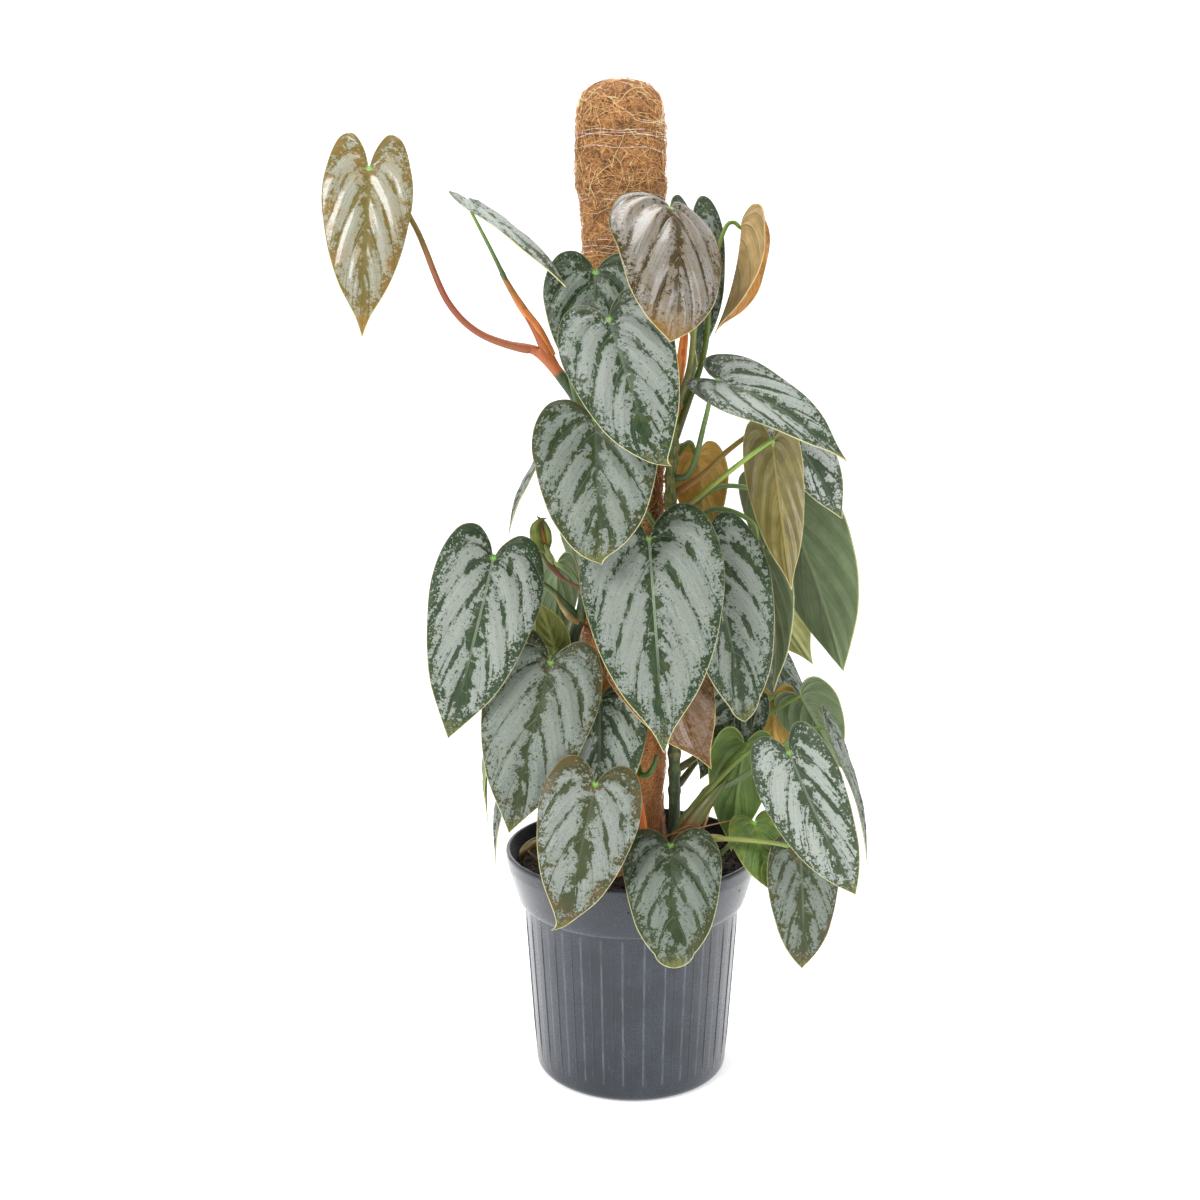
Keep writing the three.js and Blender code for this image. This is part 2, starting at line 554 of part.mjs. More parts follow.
// The middle surface as one sheet of triangles, and its edge as a loop of vertex numbers.
function bladeSheet(leaf, frame) {
  const arch = (leaf.arch ?? 22) * RADIANS;
  const length = (frame.chord * arch) / 2 / Math.sin(arch / 2);
  const last = HALF_OUTLINE.length - 1;
  const positions = [];
  const numbers = new Map();
  const number = (side, i, j) => {
    const atBase = i === 0 || (VEIN_STARTS[i] === 0 && j === 0);
    let key = `${j === 0 ? 0 : side},${i},${j}`;
    if (atBase) key = 'base';
    if (i === last) key = 'tip';
    if (!numbers.has(key)) {
      const share = j / BLADE_COLUMNS;
      const [edgeAcross, edgeAlong] = HALF_OUTLINE[i];
      const reach = (edgeAcross + (leaf.blunt ?? 0) * BLUNT_WIDENING[i]) / HALF_OUTLINE_WIDTH;
      const lobe = edgeAlong < 0 ? leaf.lobe ?? 1 : 1;
      const x = (side * share * reach * leaf.width) / 2;
      const y = length * THREE.MathUtils.lerp(VEIN_STARTS[i], edgeAlong * lobe, share);
      const point = bladePoint(leaf, frame, atBase || i === last ? 0 : x, atBase ? 0 : y);
      numbers.set(key, positions.length / 3);
      positions.push(point.x, point.y, point.z);
    }
    return numbers.get(key);
  };
  const triangles = [];
  const addTriangle = (side, a, b, c) => {
    if (a === b || b === c || c === a) return;
    triangles.push(...(side > 0 ? [a, b, c] : [a, c, b]));
  };
  [1, -1].forEach((side) => {
    for (let i = 0; i < last; i += 1) {
      for (let j = 0; j < BLADE_COLUMNS; j += 1) {
        const [a, b] = [number(side, i, j), number(side, i, j + 1)];
        const [c, d] = [number(side, i + 1, j), number(side, i + 1, j + 1)];
        addTriangle(side, a, d, c);
        addTriangle(side, a, b, d);
      }
    }
  });
  const edge = [];
  for (let i = 0; i <= last; i += 1) edge.push(number(1, i, BLADE_COLUMNS));
  for (let i = last - 1; i > 0; i -= 1) edge.push(number(-1, i, BLADE_COLUMNS));
  return { positions, triangles, edge };
}

// The sheet thickened evenly to both sides, with the same triangles on both faces.
function bladeSolid(leaf, frame) {
  const { positions, triangles, edge } = bladeSheet(leaf, frame);
  const sheet = indexed(positions, triangles);
  sheet.computeVertexNormals();
  const normals = sheet.attributes.normal.array;
  const count = positions.length / 3;
  const upper = positions.map((value, i) => value + (normals[i] * BLADE_THICKNESS) / 2);
  const lower = positions.map((value, i) => value - (normals[i] * BLADE_THICKNESS) / 2);
  const faces = [...triangles];
  for (let i = 0; i < triangles.length; i += 3) {
    faces.push(triangles[i] + count, triangles[i + 2] + count, triangles[i + 1] + count);
  }
  edge.forEach((start, i) => {
    const end = edge[(i + 1) % edge.length];
    faces.push(start, start + count, end + count, start, end + count, end);
  });
  return toSolid(indexed([...upper, ...lower], faces));
}

// The point of a stem's or bract's centre line at a height.
function carrierPoint(name, height) {
  const path = carrierPath(name);
  const above = path.findIndex((point) => point.z >= height);
  if (above < 1) return path[path.length - 1].clone();
  const [lower, upper] = [path[above - 1], path[above]];
  return lower.clone().lerp(upper, (height - lower.z) / (upper.z - lower.z));
}

function petiolePath(leaf, frame) {
  const start = carrierPoint(leaf.stem, leaf.at);
  const reach = frame.base.distanceTo(start);
  const outward = frame.base.clone().sub(start).setZ(0).normalize();
  const rise = start.clone().addScaledVector(outward, 0.16 * reach).addScaledVector(UP, 0.3 * reach);
  const arrival = frame.base.clone()
    .addScaledVector(frame.out, -0.3 * reach)
    .addScaledVector(frame.along, -0.08 * reach);
  const middle = leaf.via ? leaf.via.map(vector) : [rise, arrival];
  const inBlade = bladePoint(leaf, frame, 0, 0.07 * frame.chord).addScaledVector(frame.out, -0.3);
  const nearBase = frame.base.clone()
    .addScaledVector(frame.out, -5)
    .addScaledVector(frame.along, -1.5);
  const seat = frame.base.clone().addScaledVector(frame.out, -0.7).addScaledVector(frame.along, 1.5);
  const curve = new THREE.CatmullRomCurve3([start, ...middle, nearBase], false, 'centripetal');
  const steps = Math.max(4, Math.round(curve.getLength() / PETIOLE_STEP));
  return [...curve.getSpacedPoints(steps), seat, inBlade];
}

function petioleSolid(leaf, frame) {
  const path = petiolePath(leaf, frame);
  const radii = path.map((_, i) => {
    const share = i / (path.length - 1);
    return PETIOLE_RADIUS * (1 - 0.4 * share) + 0.8 * Math.max(0, 1 - share / 0.25);
  });
  radii[radii.length - 1] = 0.6;
  return toSolid(tube(path, radii, PETIOLE_SIDES));
}

function leafGeometry(leaf) {
  const frame = leafFrame(leaf);
  const whole = bladeSolid(leaf, frame).add(petioleSolid(leaf, frame));
  const seated = whole.subtract(toSolid(carrierTube(leaf.stem, GAP)));
  return fromSolid(largestBody(seated));
}

// Assembly
function piece(name, geometry, material) {
  geometry.computeVertexNormals();
  const mesh = new THREE.Mesh(geometry, material);
  mesh.name = name;
  return mesh;
}

function plant() {
  const group = new THREE.Group();
  group.name = 'potted_silver_leaf_philodendron';
  group.add(piece('pot', potGeometry(), FINISHES.pot));
  group.add(piece('soil', soilGeometry(), FINISHES.soil));
  group.add(piece('pole_core', coreRod(0), FINISHES.core));
  group.add(piece('pole_coir', coirGeometry(), FINISHES.coir));
  Object.keys(STEMS).forEach((name) => {
    group.add(piece(`stem_${name}`, stemTube(name, 0), FINISHES.stem));
  });
  Object.entries(BRACTS).forEach(([name, bract]) => {
    group.add(piece(name, bractGeometry(name), FINISHES[bract.tone]));
  });
  LEAVES.forEach((leaf) => {
    group.add(piece(leaf.name, leafGeometry(leaf), FINISHES[leaf.tone]));
  });
  return group;
}

export default plant();
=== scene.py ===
"""Looks of a potted silver leaf philodendron that climbs a coir pole.

Sizes are in millimetres unless a name or comment says otherwise, and become metres when a
mesh is made. The plant's front looks along -Y, and +Z is up.
"""

import math
import random

import bpy
import numpy as np
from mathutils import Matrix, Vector


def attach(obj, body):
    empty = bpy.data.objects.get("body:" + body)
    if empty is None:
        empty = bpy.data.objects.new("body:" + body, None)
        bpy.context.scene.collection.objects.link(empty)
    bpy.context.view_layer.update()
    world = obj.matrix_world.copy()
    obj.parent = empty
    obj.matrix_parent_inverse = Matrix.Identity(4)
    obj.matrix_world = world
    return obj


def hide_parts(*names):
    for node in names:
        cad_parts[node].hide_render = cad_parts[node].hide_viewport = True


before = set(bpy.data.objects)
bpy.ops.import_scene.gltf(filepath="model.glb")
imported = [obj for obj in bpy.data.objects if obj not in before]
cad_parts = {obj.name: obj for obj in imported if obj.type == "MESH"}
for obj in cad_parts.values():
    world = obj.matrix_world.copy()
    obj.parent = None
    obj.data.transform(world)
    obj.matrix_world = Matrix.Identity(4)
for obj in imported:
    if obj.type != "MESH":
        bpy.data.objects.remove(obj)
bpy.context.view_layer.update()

MM = 0.001
UP = np.array([0.0, 0.0, 1.0])

# Camera, from the photograph of 1200 by 1200 pixels
PHOTO_SIDE = 1200
FOCAL_PIXELS = 1504
HORIZON_CENTRE_ROW = 519
CAMERA_PLACE = (-0.0238, -1.1, 0.549)
CAMERA_PITCH = 0.12
SENSOR_WIDTH = 36.0

# Studio, in metres: place, size and watts of each light
LIGHT_TARGET = (0, 0, 0.4)
LIGHTS = {
    "key_light": ((-1.5, -1.7, 1.9), (0.9, 1.1), 52),
    "fill_light": ((1.9, -1.2, 1.1), (0.8, 1.4), 22),
    "top_light": ((0.0, 0.3, 2.3), (1.2, 1.0), 30),
}
PAPER_HALF_WIDTH = 5200.0
PAPER_FRONT = -4500.0
PAPER_BACK = 2200
PAPER_TOP = 5200.0
PAPER_BEND = 900.0
PAPER_LEVEL = -0.5

# Pot, soil and pole
POT_SEGMENTS = 192
RIB_COUNT = 32
RIB_WIDTH = 1.5
RIB_HEIGHT = 0.6
RIB_ENDS = ((72.46, 12.0), (80.75, 125.0))
DRAIN_COUNT = 8
DRAIN_RADIUS = 5.0
DRAIN_CIRCLE_RADIUS = 50.0
DRAIN_SIDES = 28
SOIL_LEVEL = 151.0
SOIL_RIM = 90.6
SOIL_SEGMENTS = 96
SOIL_RINGS = 44
SOIL_SIDE = ((83.7, 132.4), (78.8, 126.6), (70.0, 12.4), (62.4, 4.8))
POLE_FOOT = (-4.0, 0.0, 12.0)
POLE_TOP = (-9.0, 0.0, 730.0)
COIR_RADIUS = 29.8
COIR_HEAD = {"radius": 31.8, "height": 650.0}
COIR_FOOT = 70.0
COIR_DOME = 20.0
COIR_DOME_ROWS = (0.0, 0.2, 0.4, 0.6, 0.75, 0.88, 0.96, 0.995)
COIR_SIDES = 48
THREAD_PINCHES = (330, 470, 612, 648, 690)
THREAD_THICKNESS = 0.00018
# Height, turns and rise of each winding
THREAD_BANDS = [(328, 1.6, 7), (468, 2.2, 9), (607, 2.4, 11), (644, 1.8, 8), (678, 2.2, 22), (688, 1.4, 5)]
# Fibres in metres, as their geometry nodes take them
FIBRE_LAYERS = {
    "coir_fibres": dict(Density=34000.0, Length=0.026, Bend=0.02, Lift=0.0017, Thickness=0.0002,
                        Steps=7, Seed=3),
    "coir_loops": dict(Density=1700.0, Length=0.075, Bend=0.05, Lift=0.0042, Thickness=0.00018,
                       Steps=20, Seed=8),
}

# Leaves
BLADE_THICKNESS = 0.7
PETIOLE_RADIUS = 2.5
PETIOLE_SIDES = 10
MIDRIB_SOFTNESS = 3.0
LEAF_GRAIN = 2.6
HALF_OUTLINE = [
    (0, 0), (0.045, -0.085), (0.14, -0.155), (0.25, -0.12), (0.325, 0.02), (0.345, 0.19),
    (0.315, 0.37), (0.26, 0.55), (0.175, 0.72), (0.058, 0.88), (0, 1),
]
HALF_OUTLINE_WIDTH = 0.345
BLUNT_WIDENING = (0, 0, 0, 0, 0, 0.005, 0.015, 0.035, 0.065, 0.08, 0)
VEIN_STARTS = (0, 0, 0, 0, 0.02, 0.1, 0.24, 0.42, 0.6, 0.8, 1)
FIRST_VEIN = 0.5
VEIN_SPACING = 1.5
VEIN_SWEEPS = ((0, 3, 5.5, 8, 10), (1.3, 2.0, 2.9, 2.2, 1.0))
QUILT_HEIGHT = 1.7

# Stems, bracts and leaves
STEM_SIDES = 18
BRACT_SIDES = 20
GROWTH_SIDES = 14
ROOT_SIDES = 7
NO_NODE_NEAR = 99

STEMS = {
    "left": dict(radius=4.2,
                 points=[(-42, -8, 95), (-45, -9, 180), (-46, -12, 260), (-44, -17, 326),
                 (-36, -25, 358), (-31, -31, 430), (-38, -33, 500), (-50, -33, 520), (-67, -32, 541)]),
    "right": dict(radius=4.3,
                  points=[(31, -24, 95), (31, -24, 218), (30, -24, 300), (28, -26, 380), (27, -28, 450),
                 (31, -28, 515)]),
    "low": dict(radius=4.8,
                points=[(26, -46, 95), (27, -47, 150), (32, -46, 190), (47, -46, 213), (64, -46, 232)]),
    "back": dict(radius=4,
                 points=[(8, 44, 95), (5, 41, 200), (-1, 40, 330), (-9, 40, 450), (-12, 42, 540)]),
}

BRACTS = {
    "sheath_left": dict(tone="orange", radii=(3.6, 3.8, 3, 1.8), stem="left",
                        points=[(-58, -32, 536), (-66, -33, 552), (-80, -33, 572), (-93, -33, 594)]),
    # The bright tone lifts this sheath out of the shade that the leaves cast, as painted light.
    "sheath_right": dict(tone="bright", radii=(3.8, 4.2, 3.4, 0.6), stem="right",
                         points=[(31, -28, 515), (33, -29, 528), (35, -31, 545), (37, -33, 566)]),
    "shoot_front": dict(tone="bright", radii=(3.6, 4, 3.4, 0.6),
                        points=[(11, -41, 120), (10, -41, 165), (7, -42, 200), (3, -44, 236)]),
    "dead_sheath": dict(tone="husk", radii=(2.6, 3.4, 3, 0.8),
                        points=[(-58, -32, 135), (-60, -34, 152), (-66, -38, 165), (-76, -40, 178)]),
    "withered_bud": dict(tone="dry", radii=(1.5, 1.3, 3.2, 3.6, 1), stem="left",
                         points=[(-35, -27, 368), (-52, -31, 378), (-63, -30, 392), (-68, -30, 404),
                 (-72, -31, 417)]),
}

# light in a row is painted lighting for the whole leaf: below 1 it darkens the leaf as painted shade, above
# 1 it lightens it towards near white as painted light.
LEAVES = [
    # rib in a row sets how strong the painted highlight beside the midrib is.
    dict(name="leaf_01", tone="young", stalk="red", stalk_radius=2.9, warm=0.16, base=(-186, -22, 667),
         tip=(-190, -42, 549), width=64, face=(4, 6), arch=18, fold=8, lobe=1.4, stem="left", at=541,
         via=[(-76, -32, 541), (-109, -30, 552), (-130, -26, 572), (-155, -14, 627), (-176, -8, 660)]),
    dict(name="leaf_02", tone="green", stalk="green", stalk_radius=1.7, light=1.12, green=-0.8,
         base=(-110, -38, 640), tip=(-46, -78, 582), width=54, face=(68, 40), arch=14, fold=6,
         stem="sheath_left", at=586, via=[(-101, -35, 612)]),
    dict(name="leaf_03", tone="bronze", rib=0.0, base=(24, -66, 636), tip=(22, -110, 546), width=86,
         face=(26, 10), arch=50, fold=-12, lobe=1.15, blunt=1, sweep=1.5, sparse=1.45, quilt=1.5,
         stem="right", at=500, via=[(38, -38, 522), (42, -38, 560), (38, -42, 612)]),
    dict(name="leaf_04", tone="green", green=0.3, banded=0.6, base=(42, -14, 633), tip=(46, -14, 528),
         width=54, face=(40, 5), stem="right", at=486, via=[(42, -12, 520), (52, 2, 590)]),
    dict(name="leaf_05", tone="orange", base=(77, -10, 628), tip=(58, -22, 552), width=72, face=(82, 5),
         fold=46, stem="right", at=472,
         via=[(50, -32, 540), (54, -26, 585), (60, -17, 612), (68, -11, 630)]),
    dict(name="leaf_06", tone="silver", green=0.6, base=(-27, -48, 594), tip=(-31, -60, 506), width=72,
         face=(0, 8), stem="left", at=492, via=[(-45, -42, 530), (-36, -42, 575)]),
    dict(name="leaf_07", tone="silver", light=0.94, green=-0.05, banded=0.6, base=(-18, -84, 561),
         tip=(15, -112, 462), width=78, face=(-6, 12), arch=34, curl=-5, hook=-4, blunt=0.6, stem="right",
         at=462, via=[(24, -42, 505), (20, -50, 540), (2, -66, 562)]),
    dict(name="leaf_08", tone="silver", light=0.9, green=0.3, warm=0.15, rib=0.15, banded=0.5,
         base=(-27, -66, 493), tip=(-24, -104, 398), width=88, face=(-2, 22), arch=34, curl=-6, hook=4,
         blunt=1, stem="left", at=440),
    dict(name="leaf_09", tone="silver", light=0.92, green=-0.1, rib=0.9, base=(10, -70, 411),
         tip=(20, -100, 267), width=102, face=(0, 10), arch=26, stem="right", at=352, via=[(22, -44, 380)]),
    dict(name="leaf_10", tone="silver", light=1.05, green=0.4, base=(51, -50, 403), tip=(79, -60, 279),
         width=80, face=(22, 6), fold=22, blunt=0.7, round=0.5, stem="left", at=462,
         via=[(-14, -42, 446), (6, -46, 430), (18, -45, 413), (36, -42, 404)]),
    dict(name="leaf_11", tone="green", base=(96, -15, 396), tip=(103, -25, 292), width=62, face=(108, 0),
         stem="right", at=398, via=[(60, -12, 425), (88, -10, 414)]),
    dict(name="leaf_12", tone="young", stalk="lime", base=(96, -56, 477), tip=(109, -72, 375), width=60,
         face=(178, -4), fold=46, stem="right", at=420, via=[(48, -46, 440), (77, -64, 466)]),
    dict(name="leaf_13", tone="silver", stalk="green", light=1.1, green=-0.15, base=(57, -60, 520),
         tip=(145, -76, 465), width=70, face=(30, 48), arch=30, stem="right", at=450,
         via=[(38, -38, 452), (50, -44, 492)]),
    dict(name="leaf_14", tone="silver", stalk="amber", light=1.2, green=-0.3, base=(112, -12, 483),
         tip=(151, -22, 419), width=46, face=(10, 20), fold=20, blunt=0.3, stem="right", at=436,
         via=[(50, -28, 452), (68, -26, 469), (92, -18, 484)]),
    dict(name="leaf_15", tone="green", base=(108, 6, 436), tip=(157, -5, 303), width=84, face=(142, 0),
         fold=14, blunt=0.4, stem="right", at=410, via=[(60, -8, 440)]),
    dict(name="leaf_16", tone="pale", base=(92, 44, 372), tip=(141, 40, 298), width=56, face=(176, 0),
         stem="right", at=336, via=[(62, 20, 350)]),
    dict(name="leaf_17", tone="silver", light=1.09, green=0.1, rib=0.7, base=(-99, -52, 395),
         tip=(-130, -76, 271), width=80, face=(12, 10), arch=26, blunt=0.4, stem="left", at=346,
         via=[(-62, -36, 372)]),
    dict(name="leaf_18", tone="silver", light=0.86, green=-0.45, warm=0.25, rib=0.1, banded=0.9,
         base=(-59, -52, 320), tip=(-88, -74, 202), width=84, face=(-4, 10), arch=24, blunt=0.3,
         stem="left", at=282),
    dict(name="leaf_19", tone="silver", light=1.12, green=0.6, banded=0.7, base=(-24, -46, 291),
         tip=(-25, -60, 205), width=70, face=(4, 8), blunt=0.4, stem="left", at=246, via=[(-40, -33, 270)]),
    dict(name="leaf_20", tone="silver", green=-0.15, warm=0.4, rib=0.15, banded=0.9, base=(-27, -88, 242),
         tip=(-49, -112, 144), width=72, face=(-2, 14), arch=30, curl=5, hook=4, blunt=0.2, stem="left",
         at=168, via=[(-43, -40, 186), (-37, -66, 206)]),
    dict(name="leaf_21", tone="silver", light=0.82, green=0.3, warm=0.1, rib=0.1, banded=0.8,
         base=(26, -76, 194), tip=(27, -116, 121), width=70, face=(0, 30), arch=56, blunt=1, round=0.75,
         stem="low", at=164, via=[(28, -66, 180)]),
    dict(name="leaf_22", tone="silver", stalk="fresh", light=1.16, green=0.3, rib=0.5, base=(110, -64, 258),
         tip=(156, -82, 160), width=66, face=(-26, 16), arch=20, fold=22, blunt=0.6, stem="low", at=204,
         via=[(62, -54, 236), (86, -58, 258)]),
    dict(name="leaf_23", tone="silver", stalk="olive", light=0.8, warm=0.3, banded=0.9,
         base=(120, -54, 181), tip=(121, -66, 99), width=56, face=(16, 12), blunt=0.7, stem="low", at=182,
         via=[(54, -62, 194), (98, -64, 192)]),
    dict(name="leaf_24", tone="silver", base=(142, -36, 268), tip=(170, -48, 169), width=46, face=(76, 14),
         stem="low", at=222, via=[(74, -52, 234), (92, -50, 246), (122, -42, 266)]),
    dict(name="leaf_25", tone="green", stalk="fresh", base=(127, 8, 281), tip=(158, 2, 227), width=50,
         face=(168, 0), stem="right", at=232, via=[(60, -6, 246), (94, -4, 266)]),
    dict(name="leaf_26", tone="silver", base=(108, 46, 305), tip=(140, 42, 240), width=44, face=(60, 10),
         stem="right", at=278, via=[(70, 8, 300)]),
    dict(name="leaf_27", tone="golden", base=(107, 16, 278), tip=(110, 13, 211), width=42, face=(176, 0),
         stem="right", at=218, via=[(65, 6, 250)]),
    dict(name="leaf_28", tone="golden", base=(5, -44, 340), tip=(55, -66, 246), width=74, face=(4, 8),
         arch=18, stem="right", at=308, via=[(18, -36, 330)]),
    dict(name="leaf_29", tone="silver", base=(80, -16, 287), tip=(50, -18, 224), width=52, face=(-10, 8),
         stem="right", at=246, via=[(50, -8, 268)]),
    dict(name="leaf_30", tone="fresh", base=(82, -30, 254), tip=(72, -38, 176), width=50, face=(184, 0),
         stem="low", at=230),
    dict(name="leaf_31", tone="fresh", light=0.74, green=0.6, warm=0.08, base=(88, -44, 200),
         tip=(97, -62, 157), width=44, face=(10, 35), arch=34, blunt=0.5, stem="low", at=158,
         via=[(50, -46, 164), (70, -46, 184)]),
    dict(name="leaf_32", tone="green", base=(-56, 2, 382), tip=(-60, -2, 314), width=36, face=(164, 0),
         stem="left", at=366, via=[(-47, -14, 380)]),
    dict(name="leaf_33", tone="olive", base=(-56, -26, 326), tip=(-68, -28, 360), width=26, face=(170, 0),
         stem="left", at=312),
    dict(name="leaf_34", tone="silver", base=(-64, -10, 464), tip=(-90, -20, 408), width=46, face=(-82, 10),
         stem="left", at=420, via=[(-48, -22, 450)]),
    dict(name="leaf_35", tone="fresh", base=(-97, -20, 285), tip=(-106, -32, 196), width=56, face=(-84, 6),
         stem="left", at=224, via=[(-70, -14, 262)]),
    dict(name="leaf_36", tone="pale", base=(-84, 2, 246), tip=(-102, -14, 158), width=52, face=(-80, 10),
         stem="left", at=204, via=[(-64, -2, 236)]),
    dict(name="leaf_37", tone="golden", base=(48, 4, 462), tip=(52, -4, 392), width=44, face=(160, 0),
         stem="right", at=462, via=[(40, -18, 474)]),
    dict(name="leaf_38", tone="silver", green=0.3, base=(-22, 76, 596), tip=(-30, 98, 492), width=64,
         face=(184, 8), arch=26, stem="back", at=536),
    dict(name="leaf_39", tone="silver", base=(6, 66, 520), tip=(12, 88, 420), width=60, face=(176, 8),
         arch=26, stem="back", at=490),
    dict(name="leaf_40", tone="silver", green=0.2, base=(-30, 66, 452), tip=(-38, 90, 346), width=58,
         face=(186, 8), arch=28, stem="back", at=416),
    dict(name="leaf_41", tone="silver", base=(34, 84, 398), tip=(42, 112, 286), width=80, face=(176, 8),
         arch=28, stem="back", at=362),
    dict(name="leaf_42", tone="silver", green=0.4, base=(-44, 72, 330), tip=(-66, 98, 224), width=78,
         face=(196, 8), arch=26, stem="back", at=288),
    dict(name="leaf_43", tone="silver", base=(90, 60, 296), tip=(106, 78, 204), width=56, face=(164, 10),
         arch=28, stem="back", at=238),
    dict(name="leaf_44", tone="silver", green=0.3, warm=0.3, base=(-8, 84, 226), tip=(-14, 118, 146),
         width=68, face=(184, 20), arch=44, stem="back", at=190, via=[(2, 66, 218)]),
]


# Finishes
def shade(red, green, blue):
    """The linear colour of the 0 to 255 values that a screen shows."""
    values = [value / 255 for value in (red, green, blue)]
    return tuple(v / 12.92 if v <= 0.04045 else ((v + 0.055) / 1.055) ** 2.4 for v in values)


class Signal:
    """A number in a node tree, which is added, scaled and so on like a plain number."""

    def __init__(self, recipe, socket):
        self.recipe = recipe
        self.socket = socket

    def __add__(self, other):
        return self.recipe.math("ADD", self, other)

    def __sub__(self, other):
        return self.recipe.math("SUBTRACT", self, other)

    def __mul__(self, other):
        return self.recipe.math("MULTIPLY", self, other)

    def __truediv__(self, other):
        return self.recipe.math("DIVIDE", self, other)

    def __abs__(self):
        return self.recipe.math("ABSOLUTE", self)


class Recipe:
    """Builds the nodes of a material or of a geometry group.

    A colour in whole numbers is given by the 0 to 255 values that a screen shows.
    """

    def __init__(self, tree):
        self.tree = tree
        self.tree.nodes.clear()

    def node(self, kind, inputs=None, **settings):
        made = self.tree.nodes.new(kind)
        for key, value in settings.items():
            setattr(made, key, value)
        for key, value in (inputs or {}).items():
            self.feed(made.inputs[key], value)
        return made

    def feed(self, socket, value):
        if isinstance(value, Signal):
            value = value.socket
        if isinstance(value, bpy.types.NodeSocket):
            self.tree.links.new(value, socket)
        elif socket.type == "RGBA":
            socket.default_value = (*(shade(*value) if isinstance(value[0], int) else value), 1.0)
        else:
            socket.default_value = value

    def math(self, operation, first, second=0.0):
        made = self.node("ShaderNodeMath", {0: first, 1: second}, operation=operation)
        return Signal(self, made.outputs[0])

    def largest(self, first, *others):
        for other in others:
            first = self.math("MAXIMUM", first, other)
        return first

    def ramp(self, value, low, high, start=0.0, end=1.0):
        """Goes smoothly from start to end while the value goes from low to high."""
        settings = {"Value": value, "From Min": low, "From Max": high, "To Min": start, "To Max": end}
        made = self.node("ShaderNodeMapRange", settings, interpolation_type="SMOOTHSTEP")
        return Signal(self, made.outputs[0])

    def blend(self, share, first, second):
        """Mixes two colours."""
        return self.node("ShaderNodeMix", {0: share, 6: first, 7: second}, data_type="RGBA").outputs[2]

    def triple(self, x, y, z):
        return self.node("ShaderNodeCombineXYZ", {0: x, 1: y, 2: z}).outputs[0]

    def split(self, vector):
        parts = self.node("ShaderNodeSeparateXYZ", {0: vector}).outputs
        return [Signal(self, part) for part in parts]

    def noise(self, vector, scale=1.0, detail=2.0, rough=0.55, distort=0.0):
        settings = {"Vector": vector, "Scale": scale, "Detail": detail, "Roughness": rough}
        made = self.node("ShaderNodeTexNoise", {**settings, "Distortion": distort})
        return Signal(self, made.outputs[0])

    def mark(self, name):
        return self.node("ShaderNodeAttribute", attribute_name=name).outputs["Vector"]

    def object_place(self, per_unit=1000.0):
        """Place in the object, in millimetres unless told otherwise."""
        place = self.node("ShaderNodeTexCoord").outputs["Object"]
        scaled = self.node("ShaderNodeVectorMath", {0: place, 3: per_unit}, operation="SCALE")
        return scaled.outputs[0]


def new_finish(name):
    finish = bpy.data.materials.new(name)
    finish.use_nodes = True
    return finish, Recipe(finish.node_tree)


def surface(recipe, colour, roughness, height=None, relief=0.3, fixed=None):
    """Ends a material: colour, roughness, a bump in millimetres and a list of fixed settings."""
    shader = recipe.node("ShaderNodeBsdfPrincipled", {"Base Color": colour, "Roughness": roughness})
    for key, value in (fixed or {}).items():
        shader.inputs[key].default_value = value
    if height is not None:
        bump = recipe.node("ShaderNodeBump", {"Height": height, "Distance": relief * MM, "Strength": 1.0})
        recipe.feed(shader.inputs["Normal"], bump.outputs[0])
    output = recipe.node("ShaderNodeOutputMaterial")
    recipe.feed(output.inputs[0], shader.outputs[0])


class LeafMarks:
    """The places, in millimetres, that leaf materials read from a leaf's own attributes."""

    def __init__(self, recipe):
        r = self.recipe = recipe
        self.x, self.y, self.share = r.split(r.mark("leaf_place"))
        self.number, self.gap, self.margin = r.split(r.mark("leaf_veins"))
        self.seed, self.green, self.warm = r.split(r.mark("leaf_growth"))
        # light is painted lighting for the whole leaf, painted shade below 1 and painted light above 1;
        # ribbed scales the painted highlight beside the midrib.
        self.light, self.ribbed, self.banded = r.split(r.mark("leaf_tone"))
        self.side = r.math("SIGN", self.x)
        self.across = abs(self.x)
        lifted = self.number + 0.5
        self.vein_index = r.math("FLOOR", lifted)
        offset = abs(r.math("FRACT", lifted) - 0.5)
        self.vein = offset * self.gap
        fourth = r.math("FRACT", self.number * 4.0)
        self.small_vein = abs(fourth - 0.5)
        self.flat = r.triple(self.x * 0.1, self.y * 0.1, self.seed)
        self.side_seed = self.side * 5.3 + self.seed
        self.streaks = r.triple(self.number, self.across * 0.012, self.side_seed)
        self.hairs = r.triple(self.number * 22.0, self.across * 0.09, self.side_seed)
        self.grain = r.triple(self.number * 9.0, self.across * 0.2, self.side_seed)


